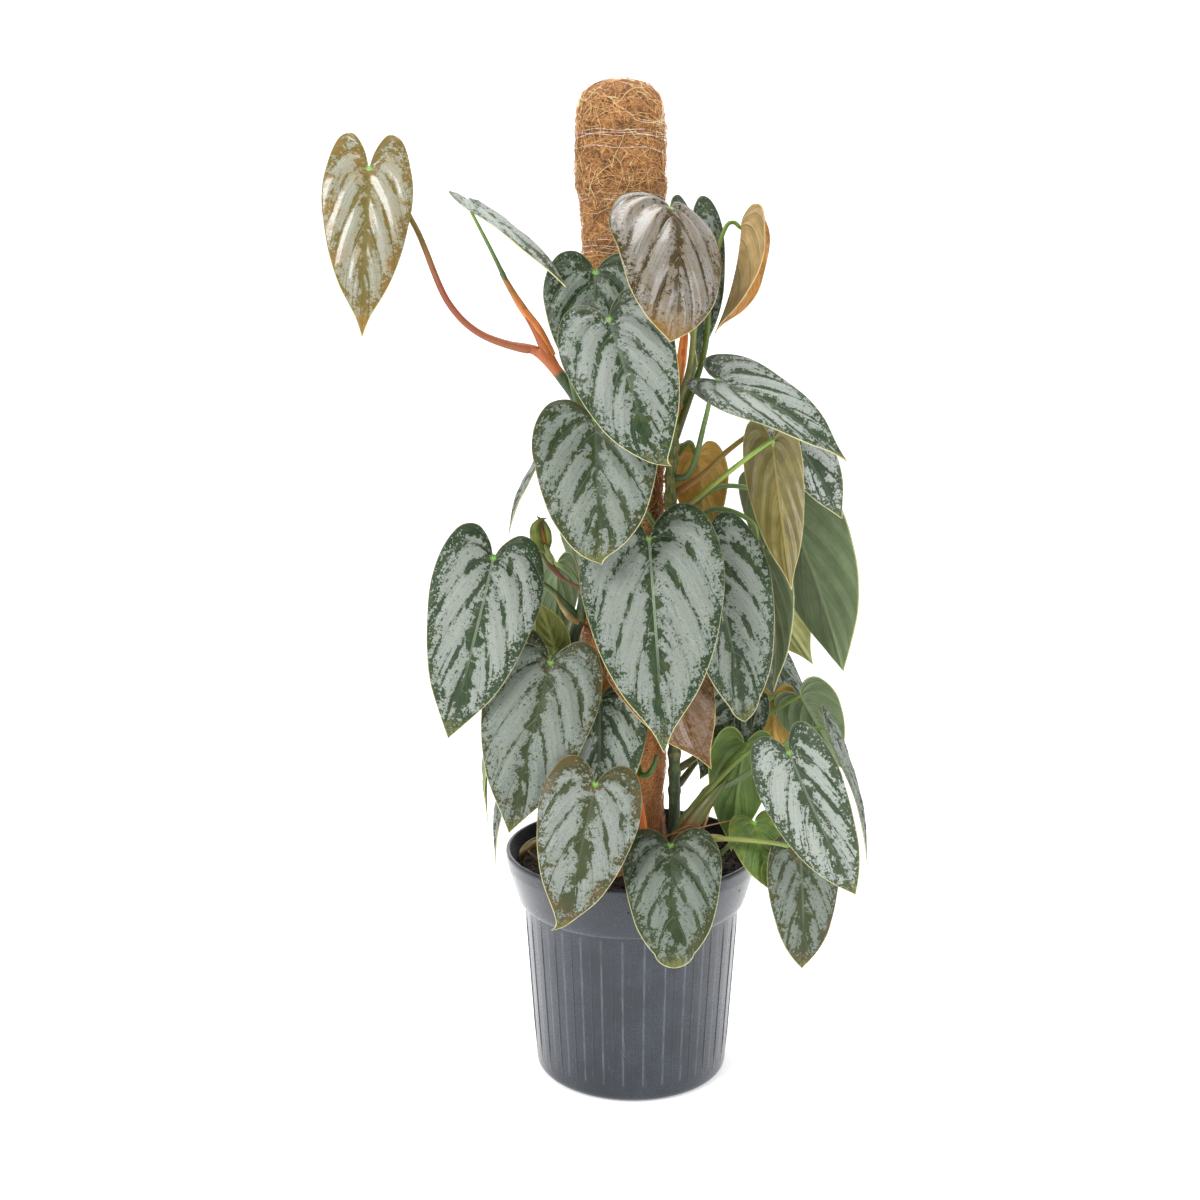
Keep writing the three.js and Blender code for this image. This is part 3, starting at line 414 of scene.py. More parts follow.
def upper_finish(name, look):
    """A leaf's upper face: silver between dark ragged bands along its veins and its margin."""
    finish, r = new_finish(name)
    m = LeafMarks(r)
    cover, gloss, soft = look["cover"], look["gloss"], look["soft"]
    crisp = min(1.0, 1.5 - soft)
    ragged = r.noise(m.flat, 2.8, 4, 0.64) - 0.5
    toothed = r.noise(m.grain, 0.62, 3, 0.6) - 0.5
    patches = r.noise(m.flat, 0.75, 2)
    fine = r.noise(m.hairs, 1.0, 4, 0.65)
    rough_edge = ragged * 13.0 + toothed * 9.0
    wider = m.green * 2.4
    vein_place = r.triple(m.vein_index * 2.7 + m.side_seed, m.across * 0.085, m.y * 0.01)
    width = r.ramp(r.noise(vein_place, 1.5, 2), 0.34, 0.66, -3.2, 6.6 * cover)
    even = m.banded * r.ramp(width, -2.4, 5.4, 2.6, -2.6)
    width = width + even + wider
    side_band = rough_edge + width - m.vein
    middle_place = r.triple(m.y * 0.06, m.side_seed, 0.0)
    middle_width = r.ramp(r.noise(middle_place, 1.2, 2), 0.34, 0.68, 0.8, 7.4 * cover)
    middle_band = rough_edge + middle_width - m.across
    lobe = r.ramp(m.share, 0.14, -0.1)
    rim_width = r.ramp(patches, 0.3, 0.7, 0.0, 8.0 * cover) + lobe * 4.0
    rim_edge = ragged * 26.0 + (rim_width + wider)
    rim_band = rim_edge - m.margin
    specks = ragged * 0.7 + toothed
    beside = r.largest(r.ramp(m.vein, 8.0, 2.0, 0.0, 0.8), r.ramp(m.margin, 18.0, 3.0),
                       r.ramp(m.across, 14.0, 5.0, 0.0, 0.8))
    least = beside * -0.15 + (0.27 - 0.04 * cover)
    specks = (specks - least) * 24.0
    dots = beside * 0.12 + r.noise(m.flat, 5.2, 2, 0.6)
    dots = (dots - (0.745 - 0.035 * cover + 0.1 * (1 - crisp))) * 30.0
    specks = m.green * 1.5 + specks
    dark_by = r.largest(side_band, middle_band, rim_band, dots, specks)
    fleck_spots = r.ramp(r.noise(m.flat, 6.0, 2, 0.6), 0.54, 0.68, 0.0, 9.0 * crisp)
    flecks = fleck_spots * r.ramp(m.margin, 12.0, 3.0, 0.25, 1.0)
    dark_by = dark_by - flecks
    dark = r.ramp(dark_by, -soft, soft)
    silver = r.blend(r.ramp(fine, 0.25, 0.75), look["silver"], look["silver_light"])
    mottle = r.noise(m.flat, 11.0, 4, 0.75)
    silver = r.blend(r.ramp(mottle, 0.48, 0.66, 0.0, 0.6), silver, look["halo"])
    silver = r.blend(r.ramp(mottle, 0.46, 0.34, 0.0, 0.6), silver, look["silver_light"])
    silver = r.blend(r.ramp(patches, 0.35, 0.7, 0.0, 0.6), silver, look["silver_warm"])
    silver = r.blend(r.ramp(dark_by, -4.0, 0.0, 0.0, 0.4), silver, look["halo"])
    silver = r.blend(m.green * 0.5, silver, look["halo"])
    # Painted shade and painted light for the whole leaf, by its light factor: darker towards dark_light
    # below 1, lighter towards near white above 1.
    silver = r.blend(r.ramp(m.light, 1.0, 0.6, 0.0, 0.6), silver, look["dark_light"])
    silver = r.blend(r.ramp(m.light, 1.0, 1.4, 0.0, 0.6), silver, (226, 232, 226))
    green = r.blend(r.ramp(fine, 0.3, 0.75), look["dark"], look["dark_light"])
    olive_share = r.ramp(r.noise(m.flat, 1.6, 2), 0.42, 0.75, 0.0, 0.7)
    warm_rim = m.warm * r.ramp(m.margin, 16.0, 1.0, 0.35, 1.0)
    green = r.blend(r.largest(olive_share, m.warm), green, look["olive"])
    green = r.blend(warm_rim * 0.6, green, look["rust"])
    # Painted light for the whole leaf also lifts the dark bands when its light factor is above 1.
    green = r.blend(r.ramp(m.light, 1.0, 1.4, 0.0, 0.8), green, look["halo"])
    colour = r.blend(dark, silver, green)
    yellowing = r.ramp(patches, 0.52, 0.62) * r.ramp(m.margin, 11.0, 4.0)
    colour = r.blend(yellowing * m.warm, colour, look["rust"])
    thin = r.largest(r.ramp(m.vein, 0.1, 0.55, 0.55, 0.0), r.ramp(m.small_vein, 0.0, 0.07, 0.22, 0.0))
    colour = r.blend(thin, colour, look["vein"])
    # Painted highlight: pale lines along both flanks of the raised midrib, scaled per leaf by ribbed and
    # fading towards the tip.
    rib_flank_highlight = r.ramp(m.across, 0.5, 1.3, 0.75, 0.0) - r.ramp(m.across, 0.0, 0.35, 0.4, 0.0)
    rib = rib_flank_highlight * m.ribbed * r.ramp(m.share, 0.8, 0.35)
    colour = r.blend(rib, colour, look["rib"])
    end = ragged * 0.5 + m.share
    colour = r.blend(r.ramp(end, look["tip_from"], 1.0, 0.0, 0.85), colour, look["tip"])
    from_base = r.node("ShaderNodeVectorMath", {0: r.triple(m.x, m.y, 0.0)}, operation="LENGTH")
    colour = r.blend(r.ramp(from_base.outputs["Value"], 1.0, 3.2, 0.9, 0.0), colour, look["base"])
    edge = r.ramp(m.margin, 0.25, 0.75) * r.ramp(m.share, 0.1, 0.75, 0.25, 0.9)
    edge = r.ramp(m.share, 0.1, 0.75, 0.25, 0.9) - edge
    colour = r.blend(edge, colour, look["edge"])
    roughness = r.ramp(fine, 0.3, 0.7, gloss, gloss + 0.14) + r.ramp(dark, 0, 1, 0.05, 0.0)
    folds = r.noise(m.grain, 0.35, 2)
    height = fine * 0.35 + r.ramp(m.vein, 0.0, 1.6, 0.0, 0.9)
    height = height + folds * 1.2
    surface(r, colour, roughness, height, 0.4, {"Specular IOR Level": 0.32, "Coat Weight": look["coat"],
                                                "Coat Roughness": 0.12})
    return finish


def under_finish(name, colours, coat, gloss=0.45):
    """A leaf's underside: dull green with paler raised veins and a shadow of the bands."""
    finish, r = new_finish(name)
    m = LeafMarks(r)
    patches = r.noise(m.flat, 0.8, 3)
    fine = r.noise(m.hairs, 1.0, 4, 0.65)
    streaks = r.noise(m.streaks, 6.0, 4, 0.6)
    colour = r.blend(r.ramp(patches, 0.35, 0.68), colours["base"], colours["light"])
    colour = r.blend(r.ramp(streaks, 0.48, 0.62, 0.0, 0.55), colour, colours["shadow"])
    colour = r.blend(r.ramp(fine, 0.35, 0.7, 0.0, 0.3), colour, colours["light"])
    # Painted light for the whole leaf: lighter towards near white when its light factor is above 1.
    colour = r.blend(r.ramp(m.light, 1.0, 1.4, 0.0, 0.6), colour, (222, 230, 216))
    colour = r.blend(r.ramp(m.small_vein, 0.0, 0.1, 0.4, 0.0), colour, colours["shadow"])
    colour = r.blend(r.ramp(m.vein, 0.2, 0.7, 0.45, 0.0), colour, colours["vein"])
    colour = r.blend(r.ramp(m.across, 0.6, 1.3, 0.7, 0.0), colour, colours["vein"])
    colour = r.blend(r.ramp(m.margin, 0.4, 0.9, 0.85, 0.0), colour, colours["edge"])
    raised = r.largest(r.ramp(m.vein, 0.0, 1.2, 1.0, 0.0), r.ramp(m.across, 0.6, 2.4, 1.6, 0.0))
    height = raised + fine * 0.3
    surface(r, colour, r.ramp(patches, 0.3, 0.7, gloss, gloss + 0.12), height, 0.4,
            {"Specular IOR Level": 0.4, "Coat Weight": coat, "Coat Roughness": 0.14})
    return finish


def stalk_finish(name, foot, middle, head, gloss=0.35):
    """A petiole, from its foot on the stem to its head under the blade."""
    finish, r = new_finish(name)
    m = LeafMarks(r)
    place = r.object_place()
    colour = r.blend(r.ramp(m.share, 0.0, 0.45), foot, middle)
    colour = r.blend(r.ramp(m.share, 0.4, 0.85), colour, head)
    mottle = r.noise(place, 0.5, 3, 0.6)
    darker = tuple(0.45 * value for value in shade(*middle))
    colour = r.blend(r.ramp(mottle, 0.45, 0.75, 0.0, 0.4), colour, darker)
    surface(r, colour, r.ramp(mottle, 0.3, 0.7, gloss, gloss + 0.15), r.noise(place, 1.6, 2), 0.12)
    return finish


def bark_finish(name, base, light, dark, ring, tip, head=None):
    """A green stem, ringed at its nodes and lined lengthwise, at times of another colour near its head."""
    finish, r = new_finish(name)
    share, node_gap, seed = r.split(r.mark("growth"))
    place = r.object_place()
    x, y, z = r.split(place)
    lines = r.noise(r.triple(x, y, z * 0.08), 1.1, 3, 0.6)
    mottle = r.noise(place, 0.16, 3)
    colour = r.blend(r.ramp(lines, 0.35, 0.7), dark, base)
    colour = r.blend(r.ramp(mottle, 0.5, 0.72, 0.0, 0.7), colour, light)
    if head:
        upper_part = r.blend(r.ramp(lines, 0.35, 0.7), base, head)
        colour = r.blend(r.ramp(share, 0.5, 0.8, 0.0, 0.85), colour, upper_part)
    scar = r.ramp(node_gap, 0.5, 2.2, 0.8, 0.0) * r.ramp(mottle, 0.46, 0.6)
    colour = r.blend(scar, colour, ring)
    colour = r.blend(r.ramp(share, 0.948, 0.956), colour, tip)
    surface(r, colour, r.ramp(lines, 0.3, 0.7, 0.4, 0.6), lines + mottle, 0.35)
    return finish


def sheath_finish(name, base, light, dark, gloss, foot=None):
    """A bract, lined from foot to tip, with a drier tip and at times a withered foot."""
    finish, r = new_finish(name)
    share, around, seed = r.split(r.mark("growth"))
    place = r.triple(around * 9.0, share * 1.4, seed)
    lines = r.noise(place, 1.6, 4, 0.6)
    blots = r.noise(r.object_place(), 0.14, 3)
    colour = r.blend(r.ramp(lines, 0.35, 0.68), base, light)
    colour = r.blend(r.ramp(blots, 0.48, 0.72, 0.0, 0.8), colour, dark)
    colour = r.blend(r.ramp(share, 0.4, 1.0, 0.0, 0.8), colour, dark)
    if foot is not None:
        colour = r.blend(r.ramp(share, 0.62, 0.42), colour, foot)
    surface(r, colour, r.ramp(blots, 0.3, 0.7, gloss, gloss + 0.18), lines, 0.3)
    return finish


def plastic_finish():
    """Moulded dark plastic, scuffed along its length and dusted with soil here and there."""
    finish, r = new_finish("pot_plastic")
    place = r.object_place()
    x, y, z = r.split(place)
    cloud = r.noise(place, 0.03, 3)
    grain = r.noise(place, 1.4, 2)
    scuffs = r.noise(r.triple(x * 0.9, y * 0.9, z * 0.03), 1.0, 3, 0.6)
    colour = r.blend(r.ramp(cloud, 0.35, 0.7), (30, 36, 45), (42, 49, 59))
    colour = r.blend(r.ramp(scuffs, 0.62, 0.74, 0.0, 0.25), colour, (120, 128, 134))
    dust = r.ramp(r.noise(place, 0.45, 4, 0.65), 0.68, 0.76, 0.0, 0.35)
    colour = r.blend(dust, colour, (150, 145, 138))
    turn = r.math("ARCTAN2", y, x) * (RIB_COUNT / (2 * math.pi))
    from_rib = abs(r.math("FRACT", turn) - 0.5)
    on_body = r.ramp(z, 124.0, 125.0, 1.0, 0.0) * r.ramp(z, 12.0, 14.0)
    # Painted highlight: the rib crests on the body are lighter, broken up by the scuff noise.
    rib_crest_highlight = r.ramp(from_rib, 0.02, 0.07, 0.3, 0.0) * r.ramp(scuffs, 0.35, 0.6, 0.3, 1.0)
    colour = r.blend(rib_crest_highlight * on_body, colour, (134, 142, 152))
    roughness = r.ramp(cloud, 0.3, 0.7, 0.18, 0.27) + r.ramp(grain, 0.4, 0.7, 0.0, 0.07)
    surface(r, colour, roughness, scuffs * 0.4 + grain, 0.06,
            {"Specular IOR Level": 0.5, "Sheen Weight": 0.32, "Sheen Roughness": 0.4})
    return finish


def soil_finish():
    finish, r = new_finish("soil_peat")
    place = r.object_place()
    clumps = r.noise(place, 0.35, 5, 0.65)
    bits = r.noise(place, 0.9, 2)
    colour = r.blend(r.ramp(clumps, 0.35, 0.7), (22, 16, 13), (56, 42, 34))
    colour = r.blend(r.ramp(bits, 0.64, 0.72, 0.0, 0.8), colour, (120, 92, 66))
    surface(r, colour, r.ramp(clumps, 0.3, 0.7, 0.95, 0.75), clumps, 1.2)
    return finish


def wood_finish():
    finish, r = new_finish("pole_wood")
    x, y, z = r.split(r.object_place())
    grain = r.noise(r.triple(x, y, z * 0.04), 0.6, 4, 0.6)
    colour = r.blend(r.ramp(grain, 0.35, 0.7), (120, 88, 58), (176, 140, 98))
    surface(r, colour, 0.8, grain, 0.5)
    return finish


def coir_finish():
    """Matted husk under the loose fibres, with painted shade in its hollows and painted light low on the
    pole.
    """
    finish, r = new_finish("coir_mat")
    place = r.object_place()
    tangle = r.noise(place, 0.5, 5, 0.7, 1.4)
    holes = r.noise(place, 0.16, 3)
    colour = r.blend(r.ramp(tangle, 0.38, 0.62), (96, 58, 30), (214, 156, 94))
    # Painted shade: darker patches where the mat has hollows.
    colour = r.blend(r.ramp(holes, 0.5, 0.66, 0.0, 0.75), colour, (74, 52, 28))
    # Painted light: lighter and more orange from about 470 mm down, lifting the shade that the leaves cast
    # on the lower pole.
    low = r.ramp(r.split(place)[2], 470.0, 330.0, 0.0, 0.6)
    colour = r.blend(low, colour, (208, 140, 82))
    surface(r, colour, 0.85, tangle, 1.6)
    return finish


def fibre_finish():
    """Single fibres, each of its own brown, lighter and more orange low on the pole, where painted light
    lifts the shade that the leaves cast.
    """
    finish, r = new_finish("coir_fibre")
    kind, tone, drift = r.split(r.mark("fibre"))
    place = r.object_place()
    low = r.ramp(r.split(place)[2], 460.0, 300.0)
    areas = r.noise(place, 0.06, 3)
    colour = r.blend(r.ramp(kind, 0.05, 0.8), (156, 98, 52), (240, 192, 128))
    colour = r.blend(r.ramp(areas, 0.52, 0.66, 0.0, 0.6), colour, (120, 74, 38))
    colour = r.blend(r.ramp(kind, 0.84, 0.96), colour, (244, 224, 174))
    # Painted light: lighter and more orange from about 460 mm down.
    colour = r.blend(low * 0.7, colour, (240, 172, 112))
    fleck = r.noise(place, 0.6, 2)
    colour = r.blend(r.ramp(fleck, 0.55, 0.75, 0.0, 0.4), colour, (118, 76, 42))
    surface(r, colour, 0.6, fleck, 0.1)
    return finish


def thread_finish():
    """Clear nylon thread, painted near white in patches as glints where it would catch the light."""
    finish, r = new_finish("nylon_thread")
    glint = r.noise(r.object_place(), 0.25, 2)
    # Painted glint: near white in patches of the noise.
    colour = r.blend(r.ramp(glint, 0.4, 0.6), (190, 160, 130), (240, 234, 228))
    surface(r, colour, 0.2, glint, 0.05, {"Coat Weight": 0.4})
    return finish


# Curves and tubes
def smooth_rows(rows, places):
    """Points of a smooth curve through the rows, at fractional row numbers."""
    rows = np.asarray(rows, float)
    padded = np.vstack([2 * rows[0] - rows[1], rows, 2 * rows[-1] - rows[-2]])
    lower = np.clip(np.floor(places).astype(int), 0, len(rows) - 2)
    share = (places - lower)[:, None]
    a, b, c, d = (padded[lower + k] for k in range(4))
    bend = (2 * a - 5 * b + 4 * c - d) * share + (3 * b - a - 3 * c + d) * share**2
    return b + 0.5 * share * (c - a + bend)


def route(points, step):
    """Points about a step apart on a smooth curve through the given points."""
    points = np.asarray(points, float)
    padded = np.vstack([2 * points[0] - points[1], points, 2 * points[-1] - points[-2]])
    share = np.linspace(0, 1, 24, endpoint=False)[:, None]
    stretches = []
    for k in range(len(points) - 1):
        a, b, c, d = padded[k:k + 4]
        before, here, after = (math.sqrt(np.linalg.norm(q - p)) for p, q in ((a, b), (b, c), (c, d)))
        leaving = (b - a) / before - (c - a) / (before + here) + (c - b) / here
        arriving = (c - b) / here - (d - b) / (here + after) + (d - c) / after
        stretches.append(
            b * (2 * share**3 - 3 * share**2 + 1) + c * (3 * share**2 - 2 * share**3)
            + here * leaving * (share**3 - 2 * share**2 + share)
            + here * arriving * (share**3 - share**2))
    fine = np.vstack(stretches + [points[-1:]])
    reach = np.concatenate([[0], np.cumsum(np.linalg.norm(np.diff(fine, axis=0), axis=1))])
    stops = np.linspace(0, reach[-1], max(2, round(reach[-1] / step)) + 1)
    return np.column_stack([np.interp(stops, reach, fine[:, axis]) for axis in range(3)])


def unit(vector):
    return vector / np.linalg.norm(vector)


def sleeve_faces(rings, sides):
    """Faces of a closed tube whose points lie ring by ring."""
    faces = [(i * sides + k, i * sides + (k + 1) % sides, (i + 1) * sides + (k + 1) % sides,
              (i + 1) * sides + k) for i in range(rings - 1) for k in range(sides)]
    faces.append(tuple(reversed(range(sides))))
    faces.append(tuple(range((rings - 1) * sides, rings * sides)))
    return faces


def tube(path, radii, sides, outline=None):
    """Points and faces of a closed tube. outline gives the radius round it, as a factor."""
    angles = np.linspace(0, 2 * math.pi, sides, endpoint=False)
    factor = np.ones(sides) if outline is None else outline(angles)
    side = np.array([0.97, 0.2, 0.14])
    rings = []
    for i, point in enumerate(path):
        ahead = unit(path[min(i + 1, len(path) - 1)] - path[max(i - 1, 0)])
        side = unit(side - ahead * side.dot(ahead))
        other = np.cross(ahead, side)
        reach = radii[i] * factor[:, None]
        rings.append(point + reach * (np.cos(angles)[:, None] * side + np.sin(angles)[:, None] * other))
    return np.vstack(rings), sleeve_faces(len(path), sides)


def bare_mesh(name, points, faces):
    """A smooth mesh, from points in millimetres."""
    mesh = bpy.data.meshes.new(name)
    mesh.from_pydata((np.asarray(points) * MM).tolist(), [], faces)
    mesh.polygons.foreach_set("use_smooth", np.ones(len(mesh.polygons), bool))
    mesh.update()
    return mesh


def place_object(name, mesh):
    shape = bpy.data.objects.new(name, mesh)
    bpy.context.scene.collection.objects.link(shape)
    return shape


def piece(name, points, faces, finishes, nodes=(), finish_of_face=None, marks=None):
    """A mesh in the shared frame that rides on the plant and stands for some solids."""
    mesh = bare_mesh(name, points, faces)
    for finish in finishes:
        mesh.materials.append(finish)
    if finish_of_face is not None:
        mesh.polygons.foreach_set("material_index", np.asarray(finish_of_face, np.int32))
    for mark, values in (marks or {}).items():
        layer = mesh.attributes.new(mark, "FLOAT_VECTOR", "POINT")
        layer.data.foreach_set("vector", np.asarray(values, np.float32).ravel())
    return settle(place_object(name, mesh), nodes)


def along_path(radii, count):
    """A share from 0 to 1 for each point of a path, and the radii spread evenly over it."""
    share = np.linspace(0, 1, count)
    return share, np.interp(share, np.linspace(0, 1, len(radii)), radii)


def growth_marks(share, sides, seed):
    """Marks of a tube's points: share of its length, share round it and a seed."""
    around = np.tile(np.linspace(0, 1, sides, endpoint=False), len(share))
    return {"growth": np.column_stack([np.repeat(share, sides), around, np.full(len(around), seed)])}


def settle(shape, nodes=()):
    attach(shape, "root")
    if nodes:
        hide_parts(*nodes)
    return shape


# Stems
def stem_route(name, step=3.0):
    return route(STEMS[name]["points"], step)


def stem_nodes(name):
    return [leaf["at"] for leaf in LEAVES if leaf["stem"] == name]


def make_stem(name, finish):
    """A stem with a ring of swelling at each leaf."""
    path = stem_route(name, 2.0)
    heights = path[:, 2]
    radii = np.full(len(path), float(STEMS[name]["radius"]))
    radii += 0.12 * np.sin(heights / 9.0 + len(name))
    for node in stem_nodes(name):
        radii += 0.9 * np.exp(-((heights - node) / 3.0) ** 2)
        radii -= 0.35 * np.exp(-((heights - node - 4.5) / 1.2) ** 2)
    radii[-3:] *= (0.97, 0.9, 0.78)
    points, faces = tube(path, radii, STEM_SIDES)
    share = np.repeat(np.linspace(0, 1, len(path)), STEM_SIDES)
    nearest = [min([abs(z - node) for node in stem_nodes(name)] + [NO_NODE_NEAR]) for z in heights]
    ring = np.repeat(nearest, STEM_SIDES)
    marks = {"growth": np.column_stack([share, ring, np.full(len(share), len(name) * 3.7)])}
    piece(f"{name}_stem_grown", points, faces, [finish], [f"stem_{name}"], marks=marks)


# Bracts
def bract_route(name):
    return route(BRACTS[name]["points"], 1.5)


def bract_outline(angles):
    """A keel on one side and an overlapping edge on the other."""
    keel = 0.16 * np.exp(-(angles / 0.5) ** 2) + 0.16 * np.exp(-((angles - 2 * math.pi) / 0.5) ** 2)
    lap = 0.12 * np.exp(-((angles - 3.3) / 0.22) ** 2)
    return 0.8 + keel + lap


def make_bract(name, finish):
    path = bract_route(name)
    share, radii = along_path(BRACTS[name]["radii"], len(path))
    radii = radii + 0.05 * np.sin(share * 23)
    points, faces = tube(path, radii, BRACT_SIDES, bract_outline)
    piece(f"{name}_grown", points, faces, [finish], [name],
          marks=growth_marks(share, BRACT_SIDES, len(name)))


# Leaves
def carrier_point(name, height):
    """The point of a stem's or bract's centre line at a height."""
    path = stem_route(name) if name in STEMS else bract_route(name)
    return np.array([np.interp(height, path[:, 2], path[:, axis]) for axis in range(3)])


def leaf_axes(leaf):
    base = np.array(leaf["base"], float)
    along = np.array(leaf["tip"], float) - base
    chord = np.linalg.norm(along)
    along /= chord
    azimuth, elevation = (math.radians(angle) for angle in leaf["face"])
    out = np.array([math.sin(azimuth) * math.cos(elevation), -math.cos(azimuth) * math.cos(elevation),
                    math.sin(elevation)])
    out = unit(out - along * out.dot(along))
    return base, along, out, np.cross(along, out), chord


def blade_surface(leaf, x, y, relief=0.0):
    """Points of the blade's middle surface: x across and y along the flat blade."""
    base, along, out, across, chord = leaf_axes(leaf)
    arch = math.radians(leaf.get("arch", 22))
    fold = math.radians(leaf.get("fold", 12))
    length = blade_length(leaf)
    half_width = leaf["width"] / 2
    spread = np.abs(x) / half_width
    place = y / length
    phase = leaf["base"][0] * 0.37 + np.sign(x) * 0.9
    valley = np.sqrt(x * x + MIDRIB_SOFTNESS**2) - MIDRIB_SOFTNESS
    droop = -0.11 * half_width * spread**2
    wave = 0.035 * half_width * spread**2 * np.sin(9 * place + phase)
    lift = valley * math.sin(fold) + droop + wave + relief
    hook = leaf.get("hook", 0) * np.maximum(0, (place - 0.72) / 0.28) ** 2
    hook = hook + leaf.get("curl", 0) * np.maximum(0, (place - 0.93) / 0.07) ** 2
    sideways = x * math.cos(fold) + hook
    bend = arch * (place - 0.5)
    radius = length / arch
    forward = radius * (np.sin(bend) + math.sin(arch / 2)) + lift * np.sin(bend)
    upward = radius * (np.cos(bend) - math.cos(arch / 2)) + lift * np.cos(bend)
    return base + sideways[:, None] * across + forward[:, None] * along + upward[:, None] * out


def blade_length(leaf):
    arch = math.radians(leaf.get("arch", 22))
    return leaf_axes(leaf)[4] * arch / 2 / math.sin(arch / 2)


def blade_half(leaf, side):
    """Flat places, vein numbers and margin distances on one half of a blade, row by row."""
    length = blade_length(leaf)
    rows = max(34, round(1.5 * length / LEAF_GRAIN))
    columns = max(9, round(leaf["width"] / 2 / LEAF_GRAIN))
    last = len(HALF_OUTLINE) - 1
    turns = np.linspace(0, last, rows + 1)
    edge = smooth_rows(HALF_OUTLINE, turns)
    rounding = leaf.get("round", 0)
    widening = smooth_rows(np.array(BLUNT_WIDENING)[:, None], turns)[:, 0]
    starts = smooth_rows(np.array(VEIN_STARTS)[:, None], turns)[:, 0]
    starts = np.clip(np.where(turns < 3, 0, starts), 0, 1)
    reach = (edge[:, 0] + leaf.get("blunt", 0) * np.clip(widening, 0, 1)) / HALF_OUTLINE_WIDTH
    ending = np.clip(turns - last + 1, 0, 1)
    shoulder = np.interp(last - 1, turns, reach)
    reach += rounding * (ending > 0) * (shoulder * np.cos(ending * math.pi / 2) - reach)
    tall = HALF_OUTLINE[-2][1]
    edge[:, 1] += rounding * (ending > 0) * (tall + (1 - tall) * np.sin(ending * math.pi / 2) - edge[:, 1])
    lobed = np.where(edge[:, 1] < 0, edge[:, 1] * leaf.get("lobe", 1), edge[:, 1])
    shares = np.append(np.linspace(0, 0.965, columns), 1.0)
    x = np.outer(np.clip(reach, 0, None), shares) * leaf["width"] / 2
    y = length * (starts[:, None] + (lobed - starts)[:, None] * shares)
    shift = random.Random(f"{leaf['name']}{side}").uniform(-0.22, 0.22)
    sweep = np.interp(turns, *VEIN_SWEEPS)[:, None] * shares**1.25
    sweep *= leaf.get("sweep", 1)
    spacing = VEIN_SPACING * leaf.get("sparse", 1)
    number = (turns[:, None] - FIRST_VEIN - sweep) / spacing + shift * np.minimum(shares * 4, 1)
    gap = np.hypot(np.gradient(x, turns, axis=0), np.gradient(y, turns, axis=0)) * spacing
    margin = np.column_stack([x[:, -1], y[:, -1]])
    flat = np.column_stack([x.ravel(), y.ravel()])
    distance = margin_distance(flat, margin).reshape(x.shape)
    return x * side, y, number, gap, distance, starts


def margin_distance(flat, margin):
    """Shortest distance from each flat place to the margin's line."""
    starts, steps = margin[:-1], np.diff(margin, axis=0)
    lengths = np.maximum((steps**2).sum(1), 1e-9)
    offset = flat[:, None, :] - starts[None]
    share = np.clip((offset * steps).sum(2) / lengths, 0, 1)
    gaps = offset - share[..., None] * steps
    return np.sqrt((gaps**2).sum(2)).min(1)


def blade_sheet(leaf):
    """The blade's middle surface: points, faces, edge loop and the marks of each point."""
    numbers = []
    flat, veins = [], []
    faces = []
    length = blade_length(leaf)
    base_number, tip_number = 0, 1
    for side in (1, -1):
        x, y, number, gap, distance, starts = blade_half(leaf, side)
        rows, columns = x.shape[0] - 1, x.shape[1] - 1
        index = np.full(x.shape, -1)
        if side < 0:
            index[:, 0] = numbers[0][:, 0]
        index[0, :] = base_number
        index[starts < 1e-6, 0] = base_number
        index[rows, :] = tip_number
        if side > 0:
            flat += [(0, 0), (0, length)]
            veins += [(1.0, 0.0, distance[1, 0]), (number[rows, 0], 1.0, 0.0)]
        for i, j in zip(*np.where(index < 0)):
            index[i, j] = len(flat)
            flat.append((x[i, j], y[i, j]))
            veins.append((number[i, j], gap[i, j], distance[i, j]))
        for i in range(rows):
            for j in range(columns):
                a, b, c, d = index[i, j], index[i, j + 1], index[i + 1, j], index[i + 1, j + 1]
                corners = (a, b, d, c) if side > 0 else (a, c, d, b)
                kept = tuple(dict.fromkeys(int(corner) for corner in corners))
                if len(kept) > 2:
                    faces.append(kept)
        numbers.append(index)
    edge = [*numbers[0][:, -1], *numbers[1][-2:0:-1, -1]]
    flat, veins = np.array(flat), np.array(veins)
    crest = 0.5 - 0.5 * np.cos(2 * math.pi * veins[:, 0])
    spread = np.abs(flat[:, 0]) / (leaf["width"] / 2)
    inner = np.clip(veins[:, 2] / 6, 0, 1) * np.clip(spread * 5, 0, 1)
    relief = QUILT_HEIGHT * leaf.get("quilt", 1) * crest * inner
    points = blade_surface(leaf, flat[:, 0], flat[:, 1], relief)
    return points, faces, [int(corner) for corner in edge], flat, veins, length


def point_normals(points, faces):
    normals = np.zeros_like(points)
    for corners in faces:
        a, b, c = points[corners[0]], points[corners[1]], points[corners[2]]
        turned = np.cross(b - a, c - a)
        if len(corners) == 4:
            turned = turned + np.cross(c - a, points[corners[3]] - a)
        for corner in corners:
            normals[corner] += turned
    return normals / np.maximum(np.linalg.norm(normals, axis=1), 1e-12)[:, None]


def petiole_route(leaf):
    base, along, out, across, chord = leaf_axes(leaf)
    start = carrier_point(leaf["stem"], leaf["at"])
    reach = np.linalg.norm(base - start)
    outward = unit((base - start) * (1, 1, 0))
    rise = start + outward * 0.16 * reach + UP * 0.3 * reach
    arrival = base - out * 0.3 * reach - along * 0.08 * reach
    middle = leaf.get("via") or [rise, arrival]
    near_base = base - out * 5 - along * 1.5
    path = route([start, *middle, near_base], 2.5)
    seat = base - out * 0.9 + along * 1.2
    end = blade_surface(leaf, np.array([0.0]), np.array([0.03 * chord]))[0] - out * 0.2
    return np.vstack([path, (path[-1] + seat) / 2 + out * 0.3, seat, end])


